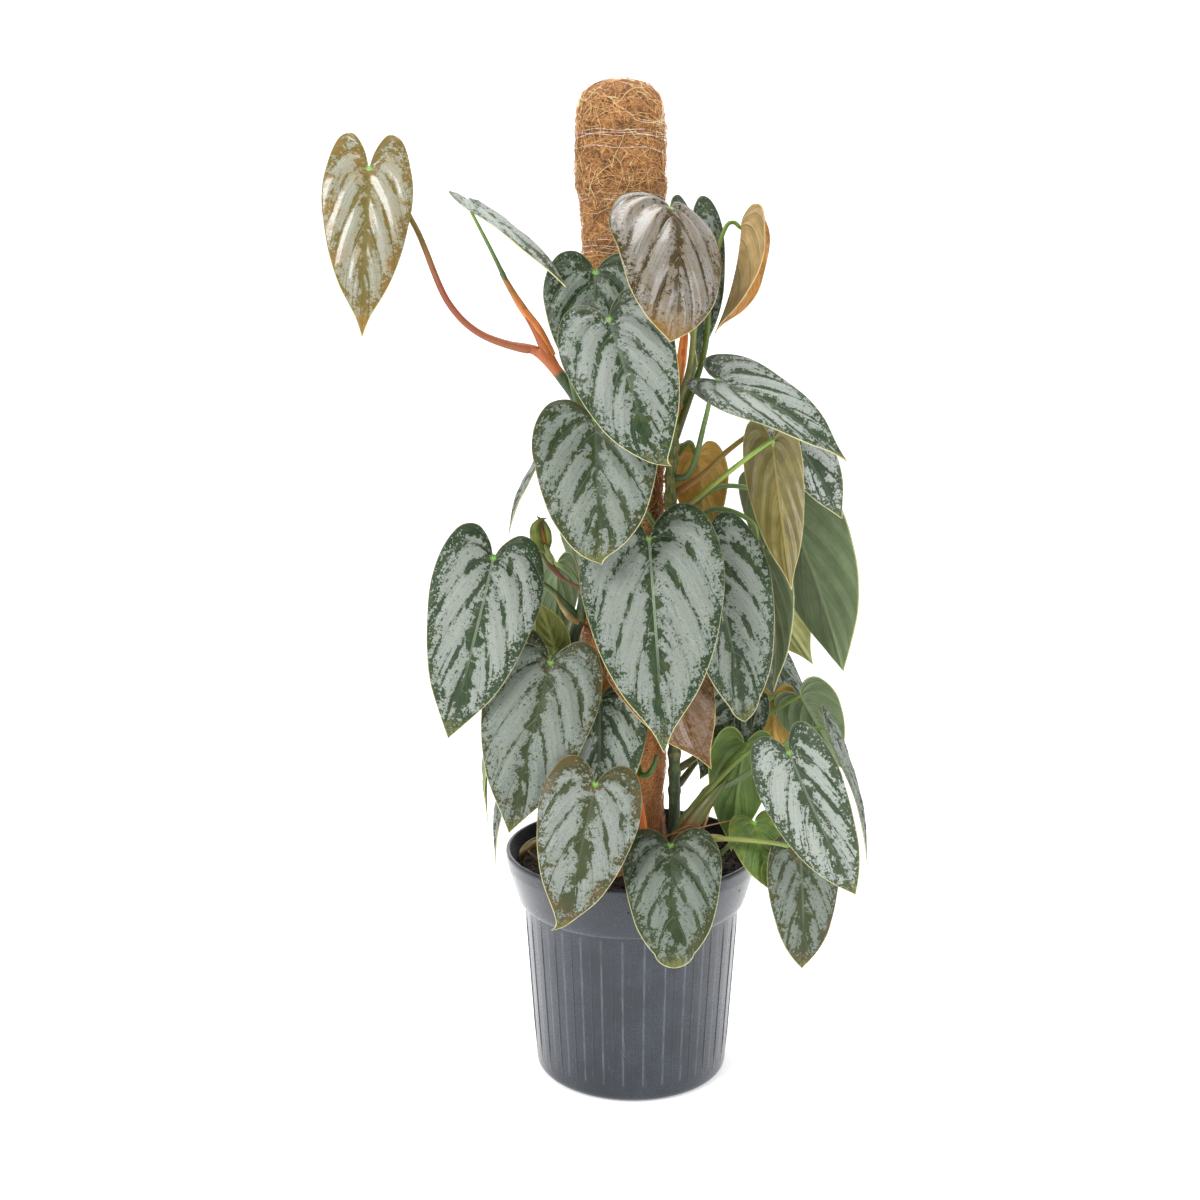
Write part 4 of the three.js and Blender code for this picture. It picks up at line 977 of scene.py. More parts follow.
def make_leaf(leaf, finishes):
    """A blade with its upper face, underside and petiole, in one closed mesh for each."""
    sheet, faces, edge, flat, veins, length = blade_sheet(leaf)
    normals = point_normals(sheet, faces)
    count = len(sheet)
    upper = sheet + normals * BLADE_THICKNESS / 2
    lower = sheet - normals * BLADE_THICKNESS / 2
    all_faces = list(faces)
    all_faces += [tuple(corner + count for corner in reversed(corners)) for corners in faces]
    finish_of_face = [0] * len(faces) + [1] * len(faces)
    for start, end in zip(edge, edge[1:] + edge[:1]):
        all_faces.append((start, start + count, end + count, end))
        finish_of_face.append(0)
    path = petiole_route(leaf)
    share = np.linspace(0, 1, len(path))
    thick = leaf.get("stalk_radius", PETIOLE_RADIUS)
    radii = thick * (1 - 0.4 * share) + 0.8 * np.clip(1 - share / 0.2, 0, 1)
    radii *= np.clip(0.45 + np.arange(len(path)) * 0.18, 0, 1)
    radii[-3:] = (1.5, 1.3, 0.5)
    stalk, stalk_faces = tube(path, radii, PETIOLE_SIDES, petiole_outline)
    points = np.vstack([upper, lower, stalk])
    all_faces += [tuple(corner + 2 * count for corner in corners) for corners in stalk_faces]
    finish_of_face += [2] * len(stalk_faces)
    place = np.column_stack([flat, flat[:, 1] / length])
    seed = random.Random(leaf["name"]).uniform(0, 40)
    growth = (seed, leaf.get("green", 0.0), leaf.get("warm", 0.0))
    # light is painted lighting for the whole leaf; rib sets the strength of its painted midrib highlight.
    tone = (leaf.get("light", 1.0), leaf.get("rib", 0.3), leaf.get("banded", 0.3))
    stalk_place = np.zeros((len(stalk), 3))
    stalk_place[:, 2] = np.repeat(share, PETIOLE_SIDES)
    marks = {
        "leaf_place": np.vstack([place, place, stalk_place]),
        "leaf_veins": np.vstack([veins, veins, np.zeros((len(stalk), 3))]),
        "leaf_growth": np.tile(growth, (len(points), 1)),
        "leaf_tone": np.tile(tone, (len(points), 1)),
    }
    piece(f"{leaf['name']}_grown", points, all_faces, finishes, [leaf["name"]], finish_of_face, marks)


def petiole_outline(angles):
    """A shallow groove along the petiole."""
    return 1 - 0.16 * np.exp(-((angles - 1.6) / 0.45) ** 2)


# Pot
def ring_of(radius, height, segments):
    angles = np.linspace(0, 2 * math.pi, segments, endpoint=False)
    return np.column_stack([radius * np.cos(angles), radius * np.sin(angles), np.full(segments, height)])


def lathe(profile, segments):
    """Points and faces of a turned body whose profile starts and ends on the axis."""
    points = [np.array([[0, 0, profile[0][1]]])]
    points += [ring_of(radius, height, segments) for radius, height in profile[1:-1]]
    points.append(np.array([[0, 0, profile[-1][1]]]))
    last = 1 + (len(profile) - 2) * segments
    faces = []
    for k in range(segments):
        following = (k + 1) % segments
        faces.append((0, 1 + following, 1 + k))
        for row in range(len(profile) - 3):
            low, high = 1 + row * segments, 1 + (row + 1) * segments
            faces.append((low + k, low + following, high + following, high + k))
        top = last - segments
        faces.append((top + k, top + following, last))
    return np.vstack(points), faces


def rounded(corners):
    """A profile with each corner, given as radius, height and rounding, cut by a small arc."""
    profile = [corners[0][:2]]
    for before, (radius, height, rounding), after in zip(corners, corners[1:], corners[2:]):
        corner = np.array([radius, height])
        incoming = unit(corner - np.array(before[:2]))
        outgoing = unit(np.array(after[:2]) - corner)
        for share in (0.0, 0.25, 0.5, 0.75, 1.0):
            start = corner - incoming * rounding * (1 - share)
            end = corner + outgoing * rounding * share
            profile.append(tuple(start * (1 - share) + end * share))
    profile.append(corners[-1][:2])
    return profile


def pot_profile():
    corners = [
        (0, 2.0, 0), (64.0, 2.0, 1.0), (66.0, 0.0, 0.8), (71.6, 0.0, 5.2), (72.9, 18.0, 6.0),
        (80.9, 127.0, 0.8), (84.8, 129.6, 0.8), (86.0, 132.4, 1.0), (92.6, 154.0, 1.4),
        (93.6, 157.2, 1.2), (95.0, 165.6, 0.8), (94.4, 168.0, 1.0), (92.0, 168.0, 0.8),
        (91.2, 156.6, 1.5), (84.2, 132.6, 1.0), (79.2, 127.0, 1.0), (70.5, 12.0, 3.0),
        (62.6, 4.4, 2.0), (0, 4.4, 0),
    ]
    return rounded(corners)


def rib_mesh():
    """One raised rib, rounded across, on the pot's body at azimuth 0."""
    low, high = RIB_ENDS
    across = np.linspace(-1, 1, 7)
    rows = np.linspace(0, 1, 9)
    points = []
    for row in rows:
        radius = low[0] + (high[0] - low[0]) * row
        height = low[1] + (high[1] - low[1]) * row
        proud = RIB_HEIGHT * min(1, 12 * row + 0.2, 12 * (1 - row) + 0.2)
        for place in across:
            rise = proud * (1 - place**4)
            points.append((radius - 0.1 + rise, place * RIB_WIDTH / 2, height))
        points.append((radius - 1.2, 0, height))
    return bare_mesh("rib_shape", points, sleeve_faces(len(rows), len(across) + 1))


def paint(shape, finish):
    shape.data.materials.clear()
    shape.data.materials.append(finish)


def frozen(shape):
    """Turns a shape and its modifiers into plain triangles and quads."""
    scene_now = bpy.context.evaluated_depsgraph_get()
    scene_now.update()
    made = bpy.data.meshes.new_from_object(shape.evaluated_get(scene_now))
    made.name = shape.name
    shape.modifiers.clear()
    shape.data = made
    return shape


class Growth(Recipe):
    """A geometry node group with named inputs."""

    def __init__(self, name, **defaults):
        group = bpy.data.node_groups.new(name, "GeometryNodeTree")
        super().__init__(group)
        self.group = group
        group.interface.new_socket("Geometry", in_out="OUTPUT", socket_type="NodeSocketGeometry")
        group.interface.new_socket("Geometry", in_out="INPUT", socket_type="NodeSocketGeometry")
        kinds = {float: "NodeSocketFloat", int: "NodeSocketInt"}
        for key, value in defaults.items():
            kind = kinds.get(type(value), "NodeSocketMaterial")
            made = group.interface.new_socket(key, in_out="INPUT", socket_type=kind)
            if type(value) in kinds:
                made.default_value = value
        self.given = self.node("NodeGroupInput").outputs

    def end(self, geometry):
        output = self.node("NodeGroupOutput")
        self.feed(output.inputs[0], geometry)

    def dice(self, low, high, seed):
        inputs = {2: low, 3: high, "Seed": seed}
        made = self.node("FunctionNodeRandomValue", inputs, data_type="FLOAT")
        return Signal(self, made.outputs[1])

    def vector_dice(self, low, high, seed):
        inputs = {0: low, 1: high, "Seed": seed}
        return self.node("FunctionNodeRandomValue", inputs, data_type="FLOAT_VECTOR").outputs[0]

    def scaled(self, vector, factor):
        return self.node("ShaderNodeVectorMath", {0: vector, 3: factor}, operation="SCALE").outputs[0]

    def wander(self, geometry, place, scale, amount):
        """Moves each point a little, by noise at its place."""
        cloud = self.node("ShaderNodeTexNoise", {"Vector": place, "Scale": scale, "Detail": 1.0})
        centred = self.node("ShaderNodeVectorMath", {0: cloud.outputs["Color"], 1: (0.5, 0.5, 0.5)},
                            operation="SUBTRACT").outputs[0]
        moved = {"Geometry": geometry, "Offset": self.scaled(centred, amount)}
        return self.node("GeometryNodeSetPosition", moved).outputs[0]

    def thicken(self, curve, sides):
        """Ends the group with a curve as a closed tube, in the given thickness and finish."""
        ring = {"Resolution": sides, "Radius": self.given["Thickness"]}
        ring = self.node("GeometryNodeCurvePrimitiveCircle", ring).outputs[0]
        solid = self.node("GeometryNodeCurveToMesh", {"Curve": curve, "Profile Curve": ring,
                                                      "Fill Caps": True}).outputs[0]
        painted = {"Geometry": solid, "Material": self.given["Finish"]}
        self.end(self.node("GeometryNodeSetMaterial", painted).outputs[0])

    def grow(self, shape, **values):
        """Runs the group on a shape with its inputs set, and keeps the result as its mesh."""
        modifier = shape.modifiers.new(self.group.name, "NODES")
        modifier.node_group = self.group
        for item in self.group.interface.items_tree:
            if item.in_out == "INPUT" and item.name in values:
                modifier[item.identifier] = values[item.name]
        return frozen(shape)


def ribbed_growth(shape):
    """Repeats a shape round the pot's axis."""
    g = Growth("ribs_round_pot", Count=RIB_COUNT)
    points = g.node("GeometryNodePoints", {"Count": g.given["Count"], "Position": (0, 0, 0)})
    index = g.node("GeometryNodeInputIndex").outputs[0]
    turn = g.math("MULTIPLY", index, 2 * math.pi) / g.given["Count"]
    instances = g.node("GeometryNodeInstanceOnPoints", {
        "Points": points.outputs[0], "Instance": g.given["Geometry"],
        "Rotation": g.triple(0.0, 0.0, turn + 1.5 * math.pi)})
    whole = g.node("GeometryNodeRealizeInstances", {0: instances.outputs[0]})
    g.end(whole.outputs[0])
    return g.grow(shape, Count=RIB_COUNT)


def make_pot(finish):
    points, faces = lathe(pot_profile(), POT_SEGMENTS)
    pot = place_object("pot_moulded", bare_mesh("pot_moulded", points, faces))
    ribs = ribbed_growth(place_object("ribs", rib_mesh()))
    drills = []
    for hole in range(DRAIN_COUNT):
        angle = (hole + 0.5) / DRAIN_COUNT * 2 * math.pi
        centre = np.array([math.cos(angle), math.sin(angle), 0]) * DRAIN_CIRCLE_RADIUS
        path = [centre + UP * height for height in (-3, 8)]
        drills.append(tube(path, [DRAIN_RADIUS, DRAIN_RADIUS], DRAIN_SIDES))
    count = len(drills[0][0])
    drill_points = np.vstack([points for points, _ in drills])
    drill_faces = [tuple(c + k * count for c in face) for k, (_, fs) in enumerate(drills) for face in fs]
    drill = place_object("drills", bare_mesh("drills", drill_points, drill_faces))
    cut = pot.modifiers.new("drain_holes", "BOOLEAN")
    cut.object, cut.operation, cut.solver = drill, "DIFFERENCE", "EXACT"
    frozen(pot)
    join = pot.modifiers.new("ribs", "BOOLEAN")
    join.object, join.operation, join.solver = ribs, "UNION", "EXACT"
    frozen(pot)
    for helper in (drill, ribs):
        bpy.data.objects.remove(helper)
    paint(pot, finish)
    smooth_below(pot.data, 40)
    return settle(pot, ["pot"])


def smooth_below(mesh, degrees):
    """Smooth shading with sharp edges where faces meet at more than an angle."""
    mesh.polygons.foreach_set("use_smooth", np.ones(len(mesh.polygons), bool))
    mesh.set_sharp_from_angle(angle=math.radians(degrees))


# Soil
def soil_height(x, y):
    clods = 1.2 * np.sin(x / 7.1 + 2) * np.cos(y / 5.3) + 0.8 * np.sin((x + y) / 3.7)
    crumbs = 0.45 * np.sin(x / 1.9 + 1.3 * np.sin(y / 2.3)) * np.cos(y / 1.7 + x / 4.1)
    return SOIL_LEVEL + 1.5 + clods + crumbs


def crumb_growth():
    """Scatters lumps over the upward faces and joins them to the bed."""
    g = Growth("soil_crumbs", Density=0.0, Smallest=0.0, Largest=0.0, Seed=0)
    normal = g.split(g.node("GeometryNodeInputNormal").outputs[0])
    upward = g.node("FunctionNodeCompare", {0: normal[2], 1: 0.6}, operation="GREATER_THAN").outputs[0]
    spread = g.node("GeometryNodeDistributePointsOnFaces", {
        "Mesh": g.given["Geometry"], "Selection": upward, "Density": g.given["Density"],
        "Seed": g.given["Seed"]})
    lump = g.node("GeometryNodeMeshIcoSphere", {"Radius": 1.0, "Subdivisions": 1}).outputs[0]
    size = g.dice(g.given["Smallest"], g.given["Largest"], 3)
    turn = g.vector_dice((0, 0, 0), (6.2, 6.2, 6.2), 5)
    flat = g.dice(0.45, 1.1, 7)
    scale = g.scaled(g.triple(1.0, 0.8, flat), size)
    lumps = g.node("GeometryNodeInstanceOnPoints", {
        "Points": spread.outputs[0], "Instance": lump, "Rotation": turn, "Scale": scale})
    whole = g.node("GeometryNodeRealizeInstances", {0: lumps.outputs[0]})
    both = g.node("GeometryNodeJoinGeometry")
    for part in (g.given["Geometry"], whole.outputs[0]):
        g.feed(both.inputs[0], part)
    g.end(both.outputs[0])
    return g


def make_soil(finish):
    """A bed of peat with an uneven top, filled down to the pot's floor."""
    segments = SOIL_SEGMENTS
    shares = np.linspace(0, 1, SOIL_RINGS + 1)[1:]
    points = [np.array([[0, 0, soil_height(0.0, 0.0)]])]
    for share in shares:
        ring = ring_of(SOIL_RIM * share, 0, segments)
        level = soil_height(ring[:, 0], ring[:, 1])
        ring[:, 2] = level if share < 0.999 else SOIL_LEVEL
        points.append(ring)
    for radius, height in SOIL_SIDE:
        points.append(ring_of(radius, height, segments))
    points.append(np.array([[0, 0, SOIL_SIDE[-1][1]]]))
    rows = len(points) - 2
    last = 1 + rows * segments
    faces = []
    for k in range(segments):
        following = (k + 1) % segments
        faces.append((0, 1 + k, 1 + following))
        for row in range(rows - 1):
            high, low = 1 + row * segments, 1 + (row + 1) * segments
            faces.append((high + k, low + k, low + following, high + following))
        foot = last - segments
        faces.append((foot + k, last, foot + following))
    bed = place_object("soil_peat_bed", bare_mesh("soil_peat_bed", np.vstack(points), faces))
    crumb_growth().grow(bed, Density=68000.0, Smallest=0.0007, Largest=0.0024, Seed=11)
    paint(bed, finish)
    return settle(bed, ["soil"])


# Pole
def pole_centre(height):
    share = (height - POLE_FOOT[2]) / (POLE_TOP[2] - POLE_FOOT[2])
    return np.array(POLE_FOOT) + share * (np.array(POLE_TOP) - np.array(POLE_FOOT))


def coir_radius(height):
    lumps = 0.9 * math.sin(height / 17) + 0.5 * math.sin(height / 7.3 + 1)
    below = POLE_TOP[2] - height
    dome = (1 - (1 - below / COIR_DOME) ** 2.4) ** 0.42 if below < COIR_DOME else 1
    pinch = max(0.9 * math.exp(-((height - thread) / 4) ** 2) for thread in THREAD_PINCHES)
    share = min(1, max(0, (height - COIR_HEAD["height"] + 8) / 16))
    radius = COIR_RADIUS + (COIR_HEAD["radius"] - COIR_RADIUS) * share**2 * (3 - 2 * share)
    return (radius + lumps - pinch) * max(dome, 0.05)


def coir_mesh():
    """The mat of husk: a lumpy rod with a domed head."""
    heights = list(np.arange(COIR_FOOT, POLE_TOP[2] - COIR_DOME, 5.0))
    heights += [POLE_TOP[2] - COIR_DOME * (1 - share) for share in COIR_DOME_ROWS]
    sides = COIR_SIDES
    angles = np.linspace(0, 2 * math.pi, sides, endpoint=False)
    points = []
    for height in heights:
        radius = coir_radius(height) - 0.6
        lumps = (np.sin(3 * angles + height / 19) * 0.45 + np.sin(7 * angles - height / 8) * 0.35
                 + np.sin(13 * angles + height / 5) * 0.25)
        reach = radius + lumps * min(1, radius / 20)
        centre = pole_centre(height)
        points.append(np.column_stack([centre[0] + reach * np.cos(angles),
                                       centre[1] + reach * np.sin(angles), np.full(sides, height)]))
    return bare_mesh("coir", np.vstack(points), sleeve_faces(len(heights), sides))


def fibre_growth():
    """Lays bent fibres over a surface, each with a random colour mark."""
    g = Growth("laid_fibres", Density=0.0, Length=0.0, Bend=0.0, Lift=0.0, Thickness=0.0, Steps=0,
               Seed=0, Finish=None)
    body = g.given["Geometry"]
    spread = g.node("GeometryNodeDistributePointsOnFaces", {
        "Mesh": body, "Density": g.given["Density"], "Seed": g.given["Seed"]})
    line = g.node("GeometryNodeCurvePrimitiveLine", {"Start": (-0.5, 0, 0), "End": (0.5, 0, 0)}).outputs[0]
    line = g.node("GeometryNodeResampleCurve", {"Curve": line, "Count": g.given["Steps"]}).outputs[0]
    spin = g.dice(-1.0, 1.0, 21)
    spin = spin * abs(spin * 1.6)
    turned = g.node("FunctionNodeRotateRotation", {0: spread.outputs["Rotation"],
                    1: g.node("FunctionNodeEulerToRotation", {0: g.triple(0.0, 0.0, spin)}).outputs[0]},
                    rotation_space="LOCAL").outputs[0]
    stretch = g.dice(0.45, 1.5, 22)
    length = stretch * g.given["Length"]
    laid = g.node("GeometryNodeInstanceOnPoints", {
        "Points": spread.outputs[0], "Instance": line, "Rotation": turned,
        "Scale": g.triple(length, 1.0, 1.0)}).outputs[0]
    tone = g.vector_dice((0, 0, 0), (1, 1, 1), 23)
    laid = g.node("GeometryNodeStoreNamedAttribute", {"Geometry": laid, "Name": "fibre", "Value": tone},
                  data_type="FLOAT_VECTOR", domain="INSTANCE").outputs[0]
    laid = g.node("GeometryNodeRealizeInstances", {0: laid}).outputs[0]
    mark = g.node("GeometryNodeInputNamedAttribute", {"Name": "fibre"}, data_type="FLOAT_VECTOR").outputs[0]
    place = g.node("GeometryNodeInputPosition").outputs[0]
    shift = g.node("ShaderNodeVectorMath", {0: place, 1: mark}, operation="ADD").outputs[0]
    laid = g.wander(laid, shift, 62.0, g.given["Bend"])
    near = g.node("GeometryNodeProximity", {0: body}).outputs["Position"]
    facing = g.node("GeometryNodeSampleNearestSurface", {
        "Mesh": body, "Value": g.node("GeometryNodeInputNormal").outputs[0]}, data_type="FLOAT_VECTOR")
    rise = g.node("ShaderNodeTexNoise", {"Vector": shift, "Scale": 90.0, "Detail": 1.0}).outputs[0]
    rise = g.ramp(rise, 0.3, 0.75, 0.05, 1.0) * g.given["Lift"]
    proud = g.scaled(facing.outputs[0], rise)
    resting = g.node("ShaderNodeVectorMath", {0: near, 1: proud}, operation="ADD").outputs[0]
    laid = g.node("GeometryNodeSetPosition", {"Geometry": laid, "Position": resting}).outputs[0]
    g.thicken(laid, 3)
    return g


def thread_growth():
    """Winds a thread round the axis and lets it wander a little."""
    g = Growth("wound_thread", Turns=0.0, Radius=0.0, Height=0.0, Wander=0.0, Thickness=0.0, Finish=None)
    coil = g.node("GeometryNodeCurveSpiral", {
        "Resolution": 44, "Rotations": g.given["Turns"], "Start Radius": g.given["Radius"],
        "End Radius": g.given["Radius"], "Height": g.given["Height"]}).outputs[0]
    place = g.node("GeometryNodeInputPosition").outputs[0]
    g.thicken(g.wander(coil, place, 45.0, g.given["Wander"]), 5)
    return g


def make_pole(mat, fibre, thread, wood):
    """The wooden core, the mat of husk, loose fibres over it and the thread that binds them."""
    paint(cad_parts["pole_core"], wood)
    base = coir_mesh()
    coir = place_object("coir_husk", base)
    coir.data.materials.append(mat)
    laid = fibre_growth()
    settle(coir, ["pole_coir"])
    for name, values in FIBRE_LAYERS.items():
        layer = place_object(name, base.copy())
        laid.grow(layer, Finish=fibre, **values)
        settle(layer)
    winding = thread_growth()
    for count, (height, turns, rise) in enumerate(THREAD_BANDS):
        band = place_object(f"thread_band_{count + 1}", bare_mesh("thread", [(0, 0, 0)], []))
        radius = coir_radius(height) + 0.9
        winding.grow(band, Turns=turns, Radius=radius * MM, Height=rise * MM, Wander=0.006,
                     Thickness=THREAD_THICKNESS, Finish=thread)
        lift = Vector(pole_centre(height) * MM)
        band.data.transform(band.matrix_world.Translation(lift))
        settle(band)


# Small growths that the solids leave out
GROWTHS = [
    dict(name="green_stub", tone="green", radii=(1.6, 2.7, 2.6, 2.2, 1.4),
         points=[(5, -34, 239), (6, -42, 235), (11, -46, 237), (15, -45, 243), (17, -42, 250)]),
    dict(name="left_joint_low", tone="joint", radii=(3.4, 4.5, 4.2, 3.5, 2.8),
         points=[(-53, -33, 523.5), (-61, -32.4, 533), (-69, -32, 539.5), (-77, -32, 542),
                 (-85, -31.7, 543.6)]),
    dict(name="left_joint_high", tone="joint", radii=(3.2, 4.4, 4.2, 3.4, 2.8),
         points=[(-49, -33, 519), (-57, -32.6, 530), (-63, -33, 542), (-70, -33.3, 556),
                 (-76, -33.3, 566)]),
    dict(name="back_tip_sheath", tone="joint", radii=(3.4, 4.9, 4.7, 3.0, 0.3),
         points=[(-11.5, 42, 516), (-12, 42, 530), (-12.5, 42.5, 543), (-13.5, 43.5, 556), (-15, 45, 572)]),
    dict(name="left_stem_sheath", tone="tan", radii=(2.2, 2.4, 1.5, 0.3),
         points=[(-40, -26, 344), (-45, -32, 348), (-52, -35, 358), (-57, -35, 370)]),
    dict(name="low_stem_sheath", tone="amber", radii=(5.4, 7.2, 7.2, 4.6, 0.5),
         points=[(27, -50, 156), (32, -53, 184), (45, -53, 206), (60, -52, 226), (72, -51, 242)]),
    dict(name="low_stem_stub", tone="tan", radii=(2.2, 2.7, 2.2, 1.2),
         points=[(55, -47, 217), (53.6, -48, 211), (52, -48, 203), (50.5, -48, 197)]),
    dict(name="old_petiole_sheath", tone="tan", radii=(3.0, 3.7, 3.7, 2.9),
         points=[(44, -58, 190), (50, -61, 193), (57, -62, 194.5), (64, -62.4, 194.5)]),
    dict(name="bud_scale_outer", tone="olive", radii=(1.4, 3.6, 4.8, 4.2, 2.2, 0.4),
         points=[(-63, -33, 396), (-67, -34, 401), (-70, -34.5, 408), (-70, -34.5, 415), (-66, -34, 420),
                 (-62, -34, 421)]),
    dict(name="bud_scale_inner", tone="olive", radii=(1.2, 2.8, 3.2, 2.2, 0.4),
         points=[(-62, -29, 396), (-61, -29, 403), (-62, -29, 411), (-65, -30, 418), (-69, -30, 422)]),
    dict(name="bud_core", tone="rust", radii=(1.4, 2.8, 3.0, 2.2, 0.6),
         points=[(-63.5, -31, 397), (-64.5, -31, 402), (-65.5, -31, 408), (-66.5, -31, 413),
                 (-66, -31.5, 418)]),
    dict(name="bud_neck", tone="neck", radii=(1.6, 2.6, 2.8, 2.0),
         points=[(-58, -31, 387), (-60, -32, 392), (-62, -32.5, 397), (-64, -33, 402)]),
    dict(name="soil_root", tone="straw", radii=(0.4, 0.55, 0.55, 0.3),
         points=[(20, -62, 196), (40, -61, 200), (58, -58, 203.5), (75, -51, 205)]),
    dict(name="soil_root_short", tone="straw", radii=(0.3, 0.45, 0.4, 0.3),
         points=[(17, -60, 190), (30, -61, 199), (40, -60, 203), (47, -57, 200)]),
    dict(name="dead_sheath_blade", tone="husk", radii=(3.0, 4.2, 4.4, 3.2, 1.0, 0.45, 0.4),
         points=[(-64, -30, 183), (-71, -29, 180.5), (-76.3, -28, 176.6), (-80, -26, 172.6),
                 (-81.8, -23, 166), (-81.7, -20, 158), (-81, -18, 149)]),
    dict(name="foot_husk_left", tone="straw", radii=(2.0, 2.2, 1.2, 0.2),
         points=[(21, -34, 160), (21.5, -37, 180), (21, -38, 200), (23, -37, 222)]),
    dict(name="foot_husk_right", tone="straw", radii=(2.4, 2.2, 1.0, 0.2),
         points=[(25, -44, 158), (26, -48, 176), (24, -47, 192), (20, -45, 208)]),
]
GROWTH_TONES = {
    "green": ((58, 104, 40), (84, 132, 56), (50, 88, 34)),
    "tan": ((162, 142, 82), (190, 172, 116), (128, 96, 56)),
    "amber": ((72, 66, 8), (92, 84, 16), (58, 76, 18), (100, 58, 10)),
    "neck": ((132, 146, 84), (160, 172, 110), (110, 96, 50)),
    "joint": ((162, 86, 42), (184, 108, 58), (140, 72, 36)),
    "straw": ((118, 76, 46), (152, 106, 68), (132, 90, 54)),
    "olive": ((92, 104, 36), (124, 136, 52), (70, 72, 24)),
    "husk": ((64, 54, 14), (92, 72, 26), (54, 42, 14)),
    "rust": ((140, 84, 44), (168, 108, 60), (104, 62, 36)),
}
ROOT_SHARES = (0.0, 0.35, 0.7, 1.0)
LOWEST_RIGHT_ROOT = 300.0
LONGEST_ROOT = 22
ROOT_END_RADIUS = 27.0


def make_growths():
    """Stubs, old sheaths, bud scales and roots."""
    finishes = {tone: sheath_finish(f"growth_{tone}", *colours[:3], 0.35, *colours[3:])
                for tone, colours in GROWTH_TONES.items()}
    for growth in GROWTHS:
        name, tone = growth["name"], growth["tone"]
        path = route(growth["points"], 1.2)
        share, radii = along_path(growth["radii"], len(path))
        points, faces = tube(path, radii, GROWTH_SIDES, bract_outline if max(radii) > 1 else None)
        piece(name, points, faces, [finishes[tone]], marks=growth_marks(share, GROWTH_SIDES, 2.0))
    make_aerial_roots(finishes["rust"])


def make_aerial_roots(finish):
    """Short roots from the stems' nodes to the coir, where the coir is near."""
    points, faces, shares = [], [], []
    dice = random.Random(5)
    for name in ("left", "right", "back"):
        for node in stem_nodes(name):
            start = carrier_point(name, node - 2)
            inward = (pole_centre(node) - start) * (1, 1, 0)
            reach = np.linalg.norm(inward) - ROOT_END_RADIUS
            if not 0 < reach < LONGEST_ROOT or (name == "right" and node < LOWEST_RIGHT_ROOT):
                continue
            swing = np.array([-inward[1], inward[0], 0]) / np.linalg.norm(inward)
            drop = dice.uniform(8, 20)
            path = route([start + unit(inward) * reach * share + swing * dice.uniform(-5, 5) * share
                          - UP * drop * share**1.5 for share in ROOT_SHARES], 2.0)
            root, root_faces = tube(path, np.linspace(1.3, 0.5, len(path)), ROOT_SIDES)
            faces += [tuple(corner + len(shares) for corner in face) for face in root_faces]
            points.append(root)
            shares += list(np.repeat(np.linspace(0, 1, len(path)), ROOT_SIDES))
    marks = {"growth": np.column_stack([shares, np.zeros(len(shares)), np.zeros(len(shares))])}
    piece("aerial_roots", np.vstack(points), faces, [finish], marks=marks)
